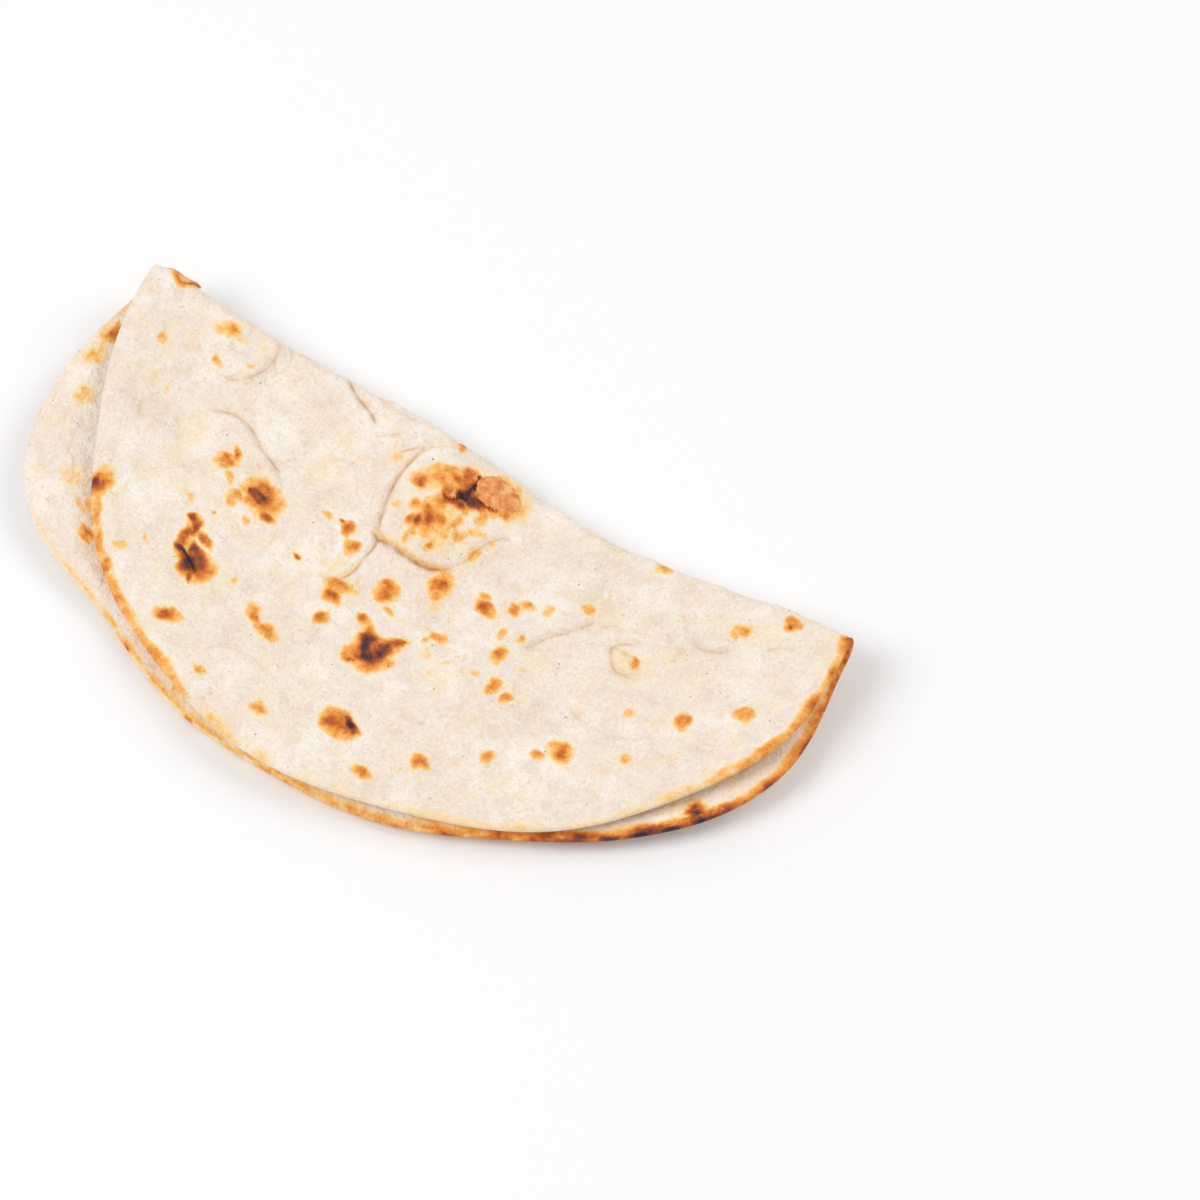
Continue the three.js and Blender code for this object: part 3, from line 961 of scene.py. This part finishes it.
# %% The fold as a formula
FOLD_SIZES = {  # in millimetres, apart from the counts of waves and the shares of the radius
    "Fold Radius": FOLD_RADIUS, "Thickness": THICKNESS, "Layer Gap": 0.5, "Settle Length": 26.0,
    "Dent At": 36.0, "Dent Half Length": 58.0, "Dent Depth": 5.0,
    "Flat Half Length": 48.0, "Half Length": 103.0, "Left Lift": 6.5, "Right Lift": 5.0,
    "Rim Lift From": 62.0, "Rim Lift To": 106.0, "Rim Lift": 1.6, "Rim Lift Waves": 5.0,
    "Gape From": 0.75, "Gape": 2.2, "Gape Waves": 5.0,
}


def wave_round(count, x, y):
    """A wave from 0 to 1 that comes count times on the way round the middle of the bread."""
    return (1 + (count * y.math("ARCTAN2", x)).math("SINE")) / 2


def table_lift(size, x, y, distance):
    """How far the bread lifts off the table, at a place on the table."""
    past_flat = (abs(x) - size["Flat Half Length"]).math("MAXIMUM", 0)
    end = past_flat / (size["Half Length"] - size["Flat Half Length"])
    on_left = x.math("LESS_THAN", 0)
    end_height = size["Right Lift"] + (size["Left Lift"] - size["Right Lift"]) * on_left
    wave = wave_round(size["Rim Lift Waves"], x, y)
    rim = wave * distance.rise(size["Rim Lift From"], size["Rim Lift To"])
    return end_height * end * end + size["Rim Lift"] * rim


def folded_place(tree, size):
    """The place of a point after the fold, in millimetres."""
    position = tree.add("GeometryNodeInputPosition")
    u, v, w = (tree.add("ShaderNodeSeparateXYZ", {}, [position], output=k) for k in range(3))
    reach = tree.add("GeometryNodeInputNamedAttribute", {"data_type": "FLOAT"}, {"Name": "reach"})
    bend = (v / size["Fold Radius"]).math("MAXIMUM", -math.pi / 2).math("MINIMUM", math.pi / 2)
    past_fold = (abs(v) - size["Fold Radius"] * (math.pi / 2)).math("MAXIMUM", 0)

    wave = wave_round(size["Gape Waves"], u, v)
    gape = size["Gape"] * wave * reach.rise(size["Gape From"], 1)
    sink = 2 * size["Fold Radius"] - size["Thickness"] - size["Layer Gap"] - gape
    sunk = v.math("GREATER_THAN", 0) * sink * past_fold.rise(0, size["Settle Length"])

    beside_dent = abs(u - size["Dent At"]).rise(0, size["Dent Half Length"])
    dent = size["Dent Depth"] * (1 - beside_dent) * (1 - past_fold.rise(0, 2 * size["Settle Length"]))

    arm = size["Fold Radius"] + w
    y = arm * bend.math("COSINE") - past_fold - dent
    z = size["Fold Radius"] + size["Thickness"] / 2 + arm * bend.math("SINE") - sunk
    distance = (u * u + y * y).math("SQRT")
    return tree.add("ShaderNodeCombineXYZ", {}, [u, y, z + table_lift(size, u, y, distance)])


print("the fold has", len(FOLD_SIZES), "sizes")

# %% The fold as a geometry node tree
def new_geometry_tree(name, sizes):
    """A geometry node tree with an input for each size, and wires from its inputs by name."""
    group = bpy.data.node_groups.new(name, "GeometryNodeTree")
    group.interface.new_socket("Geometry", in_out="INPUT", socket_type="NodeSocketGeometry")
    group.interface.new_socket("Finish", in_out="INPUT", socket_type="NodeSocketMaterial")
    for size in sizes:
        group.interface.new_socket(size, in_out="INPUT", socket_type="NodeSocketFloat")
    group.interface.new_socket("Geometry", in_out="OUTPUT", socket_type="NodeSocketGeometry")
    tree = Tree(group)
    entry = group.nodes.new("NodeGroupInput")
    return tree, {socket.name: Wire(tree, socket) for socket in entry.outputs if socket.name}


def end_geometry_tree(tree, geometry, finish):
    real = tree.add("GeometryNodeRealizeInstances", {}, [geometry])
    finished = tree.add("GeometryNodeSetMaterial", {}, {"Geometry": real, "Material": finish})
    tree.add("NodeGroupOutput", {}, [finished])
    return tree.group


def fold_tree():
    tree, inputs = new_geometry_tree("fold_the_bread", FOLD_SIZES)
    place = folded_place(tree, inputs)
    moved = {"Geometry": inputs["Geometry"], "Position": place}
    folded = tree.add("GeometryNodeSetPosition", {}, moved)
    return end_geometry_tree(tree, folded, inputs["Finish"])


fold_group = fold_tree()
print("the fold is", len(fold_group.nodes), "nodes")

# %% [markdown]
# ## The baked dough
# The dough isn't one colour. It is cream with slightly greyer and yellower clouds, fine grain, tiny
# pits, and faint wandering wrinkles, with yellow along them that is partly their tone and partly
# painted shade. Shade is also painted into the hollows, and along the creases and cracks. Where it is
# baked, the heat attribute picks a colour from a ramp, from pale through golden and brown to black.
# Fine noise is added to the heat first, so that the edge of a scorch breaks up as the real crust does.
# An image could carry the same colours, but noise is sharp at any distance. The patterns follow the
# flat bread, so they run round the fold without a seam.

# %% Colours of the dough and the crust
def srgb(red, green, blue):
    """A colour from values of 0 to 255, as the linear colour that Blender works in."""
    shares = [value / 255 for value in (red, green, blue)]
    return tuple(s / 12.92 if s <= 0.04045 else ((s + 0.055) / 1.055) ** 2.4 for s in shares) + (1.0,)


CREAM, PALE_CREAM = srgb(245, 231, 216), srgb(253, 244, 235)
GREY_CREAM, YELLOW_CREAM, TAN_GRAIN = srgb(236, 219, 203), srgb(247, 225, 188), srgb(230, 200, 163)
# Of these, the hollow cream, the crease tan and the crack black are painted shade.
SPECK, HOLLOW_SHADE_CREAM = srgb(214, 176, 132), srgb(230, 209, 184)
PAINTED_CREASE_SHADE, CRACK_SHADE_BLACK = srgb(212, 166, 96), srgb(52, 34, 34)
CRUST_STOPS = [  # heat and colour
    (0.00, srgb(253, 236, 202)), (0.13, srgb(254, 222, 164)), (0.25, srgb(253, 198, 120)),
    (0.37, srgb(243, 164, 76)), (0.49, srgb(222, 130, 50)), (0.60, srgb(188, 96, 38)),
    (0.72, srgb(142, 72, 46)), (0.83, srgb(92, 54, 52)), (0.95, srgb(44, 34, 44)),
]
print("the crust's colours have", len(CRUST_STOPS), "stops")

# %% Patterns of the pale dough
CLOUDS = {  # noise size, detail and roughness; the noise where it starts and is full; strength; tint
    "pale clouds": (16, 3, 0.5, 0.36, 0.62, 1.0, PALE_CREAM),
    "grey patches": (5, 4, 0.65, 0.42, 0.68, 0.8, GREY_CREAM),
    "yellow patches": (8, 5, 0.7, 0.48, 0.68, 0.75, YELLOW_CREAM),
}
GRAINS = {
    "pale grain": (1.3, 3, 0.75, 0.5, 0.7, 0.75, PALE_CREAM),
    "tan grain": (0.8, 3, 0.75, 0.44, 0.7, 0.4, TAN_GRAIN),
}
SPECKS = {"specks": (1.6, 1, 0.5, 0.66, 0.8, 0.35, SPECK)}
# Painted shade in the hollows; yellow along the wrinkles, partly painted shade and partly tone.
HOLLOW_SHADE_STRENGTH, WRINKLE_SHADE_STRENGTH = 0.32, 0.35
WRINKLE_SIZE, WRINKLE_WIDTH, WRINKLED_REGIONS, REGION_NOISE = 18, 0.045, 24, (0.46, 0.6)


def mix(tree, factor, first, second, blend="MIX"):
    settings = {"data_type": "RGBA", "blend_type": blend}
    inputs = {"Factor_Float": factor, "A_Color": first, "B_Color": second}
    return tree.add("ShaderNodeMix", settings, inputs, output=2)


def noise(tree, place, size, detail=2.0, roughness=0.5):
    """Noise from 0 to 1 with spots about size across, in the units of place."""
    inputs = {"Vector": place, "Scale": 1 / size, "Detail": detail, "Roughness": roughness}
    return tree.add("ShaderNodeTexNoise", {"normalize": True}, inputs)


def attribute(tree, name, output=2):
    """An attribute of the mesh: output 2 is a number, and 1 a vector."""
    return tree.add("ShaderNodeAttribute", {"attribute_name": name}, output=output)


def wrinkles(tree, place):
    """Fine wandering lines, in some regions only: 1 on a line and 0 away from it."""
    line = 1 - abs(noise(tree, place, WRINKLE_SIZE) - 0.5).rise(0, WRINKLE_WIDTH)
    return line * noise(tree, place, WRINKLED_REGIONS).rise(*REGION_NOISE)


def tinted(tree, place, colour, tints):
    """The colour with each tint laid over it in patches of noise."""
    for size, detail, roughness, start, full, strength, tint in tints.values():
        share = noise(tree, place, size, detail, roughness).rise(start, full) * strength
        colour = mix(tree, share, colour, tint)
    return colour


def dough_colour(tree, place):
    colour = tinted(tree, place, CREAM, CLOUDS)
    # Painted shade in the hollows.
    colour = mix(tree, attribute(tree, "hollow") * HOLLOW_SHADE_STRENGTH, colour, HOLLOW_SHADE_CREAM)
    colour = tinted(tree, place, colour, GRAINS)
    # Yellow along the wrinkles: partly painted shade, partly the wrinkles' own tone.
    colour = mix(tree, wrinkles(tree, place) * WRINKLE_SHADE_STRENGTH, colour, YELLOW_CREAM)
    return tinted(tree, place, colour, SPECKS)


print("the dough has", len(CLOUDS | GRAINS | SPECKS), "kinds of patches and specks")

# %% Crust, and painted shade along the creases
CRUST_FLAKES = (1.7, 3, 0.6, 0.44), (0.6, 2, 0.6, 0.2)  # noise size, detail, roughness; strength
FLAKING_HEATS, CRUST_HEATS = (0.04, 0.3), (0.04, 0.24)  # heats over which these set in
# The line and the band beside a crease are painted shade, in a tan that is partly the crease's own.
CREASE_LINE, CREASE_SHADE = (0.1, 0.75, 0.9), (0, 2.2, 0.3)  # distances where it fades; strength
CRACK_DARKNESSES = 1, 1.5


def crust_colour(tree, place, heat, dough, stops):
    """The crust's colour laid over the dough's, and the broken-up heat."""
    flakes = sum(
        (noise(tree, place, size, detail, roughness) - 0.5) * strength
        for size, detail, roughness, strength in CRUST_FLAKES
    )
    baked = heat + flakes * heat.rise(*FLAKING_HEATS)
    crust = tree.add("ShaderNodeValToRGB", {"stops": stops}, {"Fac": baked})
    return mix(tree, baked.rise(*CRUST_HEATS), dough, crust), baked


# Shade painted along the creases in tan, and black inside the cracks.
def painted_shade_of_creases(tree, colour):
    distance, darkness = abs(attribute(tree, "crease")), attribute(tree, "crease_darkness")
    line, shade = (
        (1 - distance.rise(start, end)) * darkness.math("MINIMUM", 1) * strength
        for start, end, strength in (CREASE_LINE, CREASE_SHADE)
    )
    tint = mix(tree, darkness.rise(*CRACK_DARKNESSES), PAINTED_CREASE_SHADE, CRACK_SHADE_BLACK)
    return mix(tree, line.math("MAXIMUM", shade), colour, tint, "MULTIPLY")


print("the crust breaks up in flakes of", [flake[0] for flake in CRUST_FLAKES], "mm")

# %% Material of the baked dough
RELIEFS = {  # noise size, detail and roughness; height
    "pits": (0.9, 3, 0.65, 0.7),
    "dimples": (3.0, 3, 0.6, 2.2),
}
CRUST_BLISTERS, BLISTERED_HEATS = (1.3, 2), (0.3, 0.8)  # noise size and detail; from no to full
WRINKLE_DEPTH, BUMP_DEPTH = 0.5, 0.6 * MM


def new_material(name):
    material = bpy.data.materials.new(name)
    material.use_nodes = True
    material.node_tree.nodes.clear()
    return material, Tree(material.node_tree)


def add_surface(tree, values):
    """Ends a material's tree with a surface of the given values."""
    shader = tree.add("ShaderNodeBsdfPrincipled", {}, values)
    tree.add("ShaderNodeOutputMaterial", {}, [shader])


def fine_relief(tree, place, baked):
    """Pits, dimples, wrinkles and the crust's tiny blisters, which are finer than the mesh."""
    bumps = sum(
        noise(tree, place, size, detail, roughness) * height
        for size, detail, roughness, height in RELIEFS.values()
    )
    blisters = noise(tree, place, *CRUST_BLISTERS) * baked.rise(*BLISTERED_HEATS)
    return bumps + blisters - wrinkles(tree, place) * WRINKLE_DEPTH


def baked_finish(name, stops):
    material, tree = new_material(name)
    place = attribute(tree, "flat_place", output=1)
    heat = attribute(tree, "browning")
    colour, baked = crust_colour(tree, place, heat, dough_colour(tree, place), stops)
    colour = painted_shade_of_creases(tree, colour)
    bump = {"Strength": 0.8, "Distance": BUMP_DEPTH, "Height": fine_relief(tree, place, baked)}
    add_surface(tree, {
        "Base Color": colour, "Roughness": 0.78 - 0.2 * baked.rise(0.5, 1.0),
        "Normal": tree.add("ShaderNodeBump", {}, bump), "Specular IOR Level": 0.35,
        "Subsurface Weight": 0.15, "Subsurface Scale": 2 * MM, "Subsurface Radius": (1.0, 0.6, 0.35),
    })
    return material


dough = baked_finish("baked_dough", CRUST_STOPS)
print("baked dough uses", len(dough.node_tree.nodes), "nodes")

# %% [markdown]
# ## Folding the bread
# The modifier's inputs are set by their identifiers, and then the folded result is copied to a plain
# mesh. Its box tells how far to shift it, so that the middle of its base lies at the origin, as the
# CAD model's does.

# %% Fold the flat mesh and place it
def run_tree(mesh, group, values):
    """A new mesh: what a geometry node tree makes of the given one."""
    carrier = add_object("carrier", mesh)
    modifier = carrier.modifiers.new("tree", "NODES")
    modifier.node_group = group
    for socket in group.interface.items_tree:
        if socket.in_out == "INPUT" and socket.name in values:
            modifier[socket.identifier] = values[socket.name]
    depsgraph = bpy.context.evaluated_depsgraph_get()
    made = bpy.data.meshes.new_from_object(
        carrier.evaluated_get(depsgraph), preserve_all_data_layers=True, depsgraph=depsgraph)
    bpy.data.objects.remove(carrier)
    return made


def add_piece(mesh, name):
    mesh.shade_smooth()
    mesh.name = name
    return add_object(name, mesh)


def corners(mesh):
    places = np.empty(3 * len(mesh.vertices), np.float32)
    mesh.vertices.foreach_get("co", places)
    places = places.reshape(-1, 3)
    return places.min(axis=0), places.max(axis=0)


folded_bread = run_tree(bread_mesh, fold_group, FOLD_SIZES | {"Finish": dough})
low, high = corners(folded_bread)
base_middle = Vector(((low[0] + high[0]) / 2, (low[1] + high[1]) / 2, low[2]))
to_place = Matrix.Scale(MM, 4) @ Matrix.Translation(-base_middle)
folded_bread.transform(to_place)
bread = add_piece(folded_bread, "roti_bread")
print("folded bread in mm", [round(float(side), 1) for side in high - low])

# %% [markdown]
# ## The torn skin
# Where the blister burst, a piece of its skin came loose. It is a thin leaf, toasted on both sides,
# that lies close on the right and stands off the bread along its torn edge. A second, smaller leaf is
# the shred of rim that curls up where the fold ends on the left. Each leaf is a stack of rings: its
# outline, drawn smaller and smaller towards its middle, once for the upper side and once for the
# lower. It takes its height from the bread beneath it, sinks into it and turns paler along the edge
# where it is still attached, and then goes round the fold as the bread did.

# %% Outlines and points of the leaves
RING_SIZES = np.array([1.0, 0.97, 0.9, 0.75, 0.58, 0.4, 0.2])
LEAF_THICKNESS, EDGE_SHARPNESS = 0.45, 16
RAGGEDNESS, LEAF_GRAIN = 0.12, 0.16
ATTACHED_SINK, ATTACHED_FADE = 0.7, 0.2  # how far the rest of a leaf's edge sinks and pales
SINK_FROM, FADE_FROM, HOT_FROM = 0.7, 0.75, 0.6  # ring sizes where these start, towards the edge
ATTACHED_SHARE = 0.4  # of the way from the leaf's middle to its attached edge
GRAIN_SIZE, SKIN_MOTTLE, SKIN_MOTTLE_SIZE = 1.4, 0.1, 2.2
BLISTER_SKIN = {
    "outline": [
        (6, 14), (4, 12), (3, 10), (3, 8), (5, 5), (8, 4), (12, 4), (15, 6), (17, 9),
        (15, 11), (11, 13),
    ],
    "middle": (9, 9), "loose_towards": (-6, 4), "lift": (0.2, 1.1), "heat": (0.43, 0.51),
}
RIM_SHRED = {
    "outline": [(-101, 0), (-99, 0), (-97, 1), (-94, 1), (-92, 0), (-92, 3), (-95, 4), (-99, 3)],
    "middle": (-96, 2), "loose_towards": (1, 0), "lift": (0.1, 0.7), "heat": (0.36, 0.48),
}
SKIN_STOPS = [
    (0.20, srgb(255, 226, 176)), (0.32, srgb(255, 196, 126)), (0.43, srgb(246, 162, 96)),
    (0.54, srgb(222, 132, 74)), (0.64, srgb(178, 98, 54)), (0.78, srgb(114, 62, 46)),
]


def leaf_points(leaf, seed):
    """Places on both sides of a leaf, ring by ring and then the middle, and how browned they are."""
    rng = np.random.default_rng(seed)
    outline = smooth_line(leaf["outline"], closed=True)[:-1]
    outline += RAGGEDNESS * rng.standard_normal(outline.shape)
    middle = np.array(leaf["middle"], float)
    rings = [middle + size * (outline - middle) for size in RING_SIZES]
    flat = np.vstack([*rings, middle])
    size = np.append(np.repeat(RING_SIZES, len(outline)), 0)
    u, v = flat.T

    towards = np.array(leaf["loose_towards"], float)
    along = (flat - middle) @ towards / np.hypot(*towards)
    low_lift, high_lift = leaf["lift"]
    loose = smoothstep(along, ATTACHED_SHARE * along.min(), along.max())
    lift = low_lift + (high_lift - low_lift) * loose
    lift -= ATTACHED_SINK * (1 - loose) * smoothstep(size, SINK_FROM, 1)
    under = THICKNESS / 2 + top_relief(u, v)
    height = under + lift + LEAF_GRAIN * ripple(u, v, GRAIN_SIZE, seed)
    half = LEAF_THICKNESS / 2 * np.sqrt(1 - size**EDGE_SHARPNESS)
    cool, hot = leaf["heat"]
    heat = cool + (hot - cool) * smoothstep(size, HOT_FROM, 1)
    heat += SKIN_MOTTLE * ripple(u, v, SKIN_MOTTLE_SIZE, seed + 1)
    heat -= ATTACHED_FADE * (1 - loose) * smoothstep(size, FADE_FROM, 1)
    return [np.column_stack([u, v, height + side * half]) for side in (1, -1)], heat, len(outline)


(upper_points, _), _, edge_count = leaf_points(BLISTER_SKIN, seed=31)
print("the blister's skin has", len(upper_points), "points a side,", edge_count, "on its edge")

# %% Leaves of loose skin
def leaf_mesh(leaf, seed):
    """A closed flat mesh. Its two sides share the outermost ring."""
    (upper, lower), heat, count = leaf_points(leaf, seed)
    places = np.vstack([upper, lower[count:]])
    step = np.arange(count)
    upper_rings = [step + count * k for k in range(len(RING_SIZES))]
    lower_rings = [step] + [ring + len(upper) - count for ring in upper_rings[1:]]
    tips = len(upper) - 1, len(places) - 1
    faces = []
    for rings, tip, turn in ((upper_rings, tips[0], -1), (lower_rings, tips[1], 1)):
        for near, far in zip(rings, rings[1:] + [np.full(count, tip)]):
            quads = quads_between(near, far)[:, ::turn]
            # Beside the tip two corners are the same point, and it is kept once.
            faces += [list(dict.fromkeys(quad)) for quad in quads.tolist()]
    heat = np.append(heat, heat[count:])
    nothing = np.zeros(len(heat))
    return flat_mesh("flat_leaf", places, faces, {
        "reach": nothing, "browning": heat, "hollow": nothing,
        "crease": nothing + CREASE_REACH, "crease_darkness": nothing,
    })


def loose_skin(leaf, name, seed):
    mesh = run_tree(leaf_mesh(leaf, seed), fold_group, FOLD_SIZES | {"Finish": toasted_skin})
    mesh.transform(to_place)
    return add_piece(mesh, name)


toasted_skin = baked_finish("toasted_skin", SKIN_STOPS)
leaves = [
    loose_skin(BLISTER_SKIN, "torn_skin", seed=31),
    loose_skin(RIM_SHRED, "rim_shred", seed=33),
]
print("leaves of skin:", [(leaf.name, len(leaf.data.polygons)) for leaf in leaves])

# %% [markdown]
# ## Bran
# Whole wheat flour leaves flecks of bran in the dough. They are scattered over the finished bread by
# a second geometry node tree, as tiny flattened balls of twenty faces, half sunk in the surface. Each
# one is turned and sized at random, and a fixed seed keeps them where they are. Where the bread rests
# on the table there are none, because they would stick out into it.

# %% The scattering as a geometry node tree
FLECK_SIZES = {
    "Per Square Metre": 4500.0, "Shortest": 0.2 * MM, "Longest": 0.75 * MM,
    "Off The Table": 0.5 * MM, "Seed": 4.0,
}
FLATTEST, PLUMPEST = (0.6, 0.4, 0.25), (1.0, 0.7, 0.4)  # shares of a fleck's length


def scatter_tree():
    tree, inputs = new_geometry_tree("scatter_bran", FLECK_SIZES)
    height = tree.add("ShaderNodeSeparateXYZ", {}, [tree.add("GeometryNodeInputPosition")], output=2)
    off_table = height.math("GREATER_THAN", inputs["Off The Table"])
    spread = {
        "Mesh": inputs["Geometry"], "Selection": off_table,
        "Density": inputs["Per Square Metre"], "Seed": inputs["Seed"],
    }
    kind = "GeometryNodeDistributePointsOnFaces"
    points, upright = (tree.add(kind, {}, spread, output=k) for k in (0, 2))
    fleck = tree.add("GeometryNodeMeshIcoSphere", {}, {"Radius": 0.5, "Subdivisions": 1})

    def draw(low, high, offset):
        bounds = {"Min": low, "Max": high, "Seed": inputs["Seed"] + offset}
        return tree.add("FunctionNodeRandomValue", {"data_type": "FLOAT_VECTOR"}, bounds)

    shape = draw(FLATTEST, PLUMPEST, 1)
    ends = {"Min_001": inputs["Shortest"], "Max_001": inputs["Longest"], "Seed": inputs["Seed"] + 2}
    length = tree.add("FunctionNodeRandomValue", {"data_type": "FLOAT"}, ends, output=1)
    size = tree.add("ShaderNodeVectorMath", {"operation": "SCALE"}, {"Vector": shape, "Scale": length})
    spin = {"Rotation": upright, "Rotate By": draw((0, 0, 0), (0, 0, 2 * math.pi), 3)}
    turn = tree.add("FunctionNodeRotateRotation", {"rotation_space": "LOCAL"}, spin)
    placed = {"Points": points, "Instance": fleck, "Rotation": turn, "Scale": size}
    flecks = tree.add("GeometryNodeInstanceOnPoints", {}, placed)
    return end_geometry_tree(tree, flecks, inputs["Finish"])


scatter_group = scatter_tree()
print("the scattering is", len(scatter_group.nodes), "nodes")

# %% Flecks of bran, scattered over the bread
FLECK_FACES = 20
BRAN_DARK, BRAN_PALE = srgb(134, 100, 74), srgb(188, 150, 112)
BRAN_PATCHES, BRAN_NOISE = 4 * MM, (0.35, 0.65)  # their size, and the noise from dark to pale


def bran_finish():
    material, tree = new_material("bran")
    place = tree.add("ShaderNodeTexCoord", output=3)
    shade = noise(tree, place, BRAN_PATCHES, 1).rise(*BRAN_NOISE)
    colour = mix(tree, shade, BRAN_DARK, BRAN_PALE)
    add_surface(tree, {"Base Color": colour, "Roughness": 0.8})
    return material


bran = run_tree(folded_bread, scatter_group, FLECK_SIZES | {"Finish": bran_finish()})
flecks = add_piece(bran, "bran_flecks")
print("bran:", len(flecks.data.polygons) // FLECK_FACES, "flecks")

# %% [markdown]
# ## Floor and light
# The floor is plain and pale, and the light is that of a white studio: the whole surroundings glow
# evenly, one large soft lamp at the front left gives the relief its shading, and a weaker one at the
# back right keeps the fold's crest bright.

# %% Floor and light
FLOOR_HALF, FLOOR_COLOUR = 2, (0.93, 0.93, 0.93, 1)
WORLD_STRENGTH = 0.59
LAMP_SIZE = 1.3
LAMPS = {"key": ((-1.0, -1.0, 1.6), 20.0), "fill": ((1.1, 1.2, 1.4), 12.5)}  # place in m, power in W


def add_floor():
    mesh = bpy.data.meshes.new("floor")
    ends = -FLOOR_HALF, FLOOR_HALF
    mesh.from_pydata([(x, y, 0) for y in ends for x in ends], [], [(0, 1, 3, 2)])
    material, tree = new_material("pale_floor")
    add_surface(tree, {"Base Color": FLOOR_COLOUR, "Roughness": 0.9})
    mesh.materials.append(material)
    return add_object("floor", mesh)


def add_lamp(name, place, power):
    """A round soft lamp that points at the bread."""
    data = bpy.data.lights.new(name, "AREA")
    data.shape, data.size, data.energy = "DISK", LAMP_SIZE, power
    lamp = add_object(name, data)
    lamp.location = place
    lamp.rotation_euler = (-Vector(place)).to_track_quat("-Z", "Y").to_euler()


def light_world(strength):
    world = bpy.data.worlds.new("studio")
    bpy.context.scene.world = world
    world.use_nodes = True
    background = world.node_tree.nodes["Background"]
    background.inputs["Color"].default_value = (1, 1, 1, 1)
    background.inputs["Strength"].default_value = strength


bpy.context.scene.view_settings.view_transform = "Standard"
floor = add_floor()
light_world(WORLD_STRENGTH)
for name, (place, power) in LAMPS.items():
    add_lamp(name, place, power)
floor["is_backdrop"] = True
print("lamps in W:", {name: power for name, (place, power) in LAMPS.items()})

# %% [markdown]
# ## Handing over
# Every piece moves with the bread's one body, and takes the place of the plain CAD solid. The box of
# all the pieces is printed next to the CAD model's, to show that the looks haven't changed the size.

# %% Hand over the pieces
pieces = [bread, *leaves, flecks]
for piece in pieces:
    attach(piece, "root")
    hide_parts("roti")
boxes = {"cad": [list(cad_low), list(cad_high)], "visual": [list(corner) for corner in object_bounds()]}
print("sizes in mm", {k: [round(1000 * (b - a), 2) for a, b in zip(*v)] for k, v in boxes.items()})
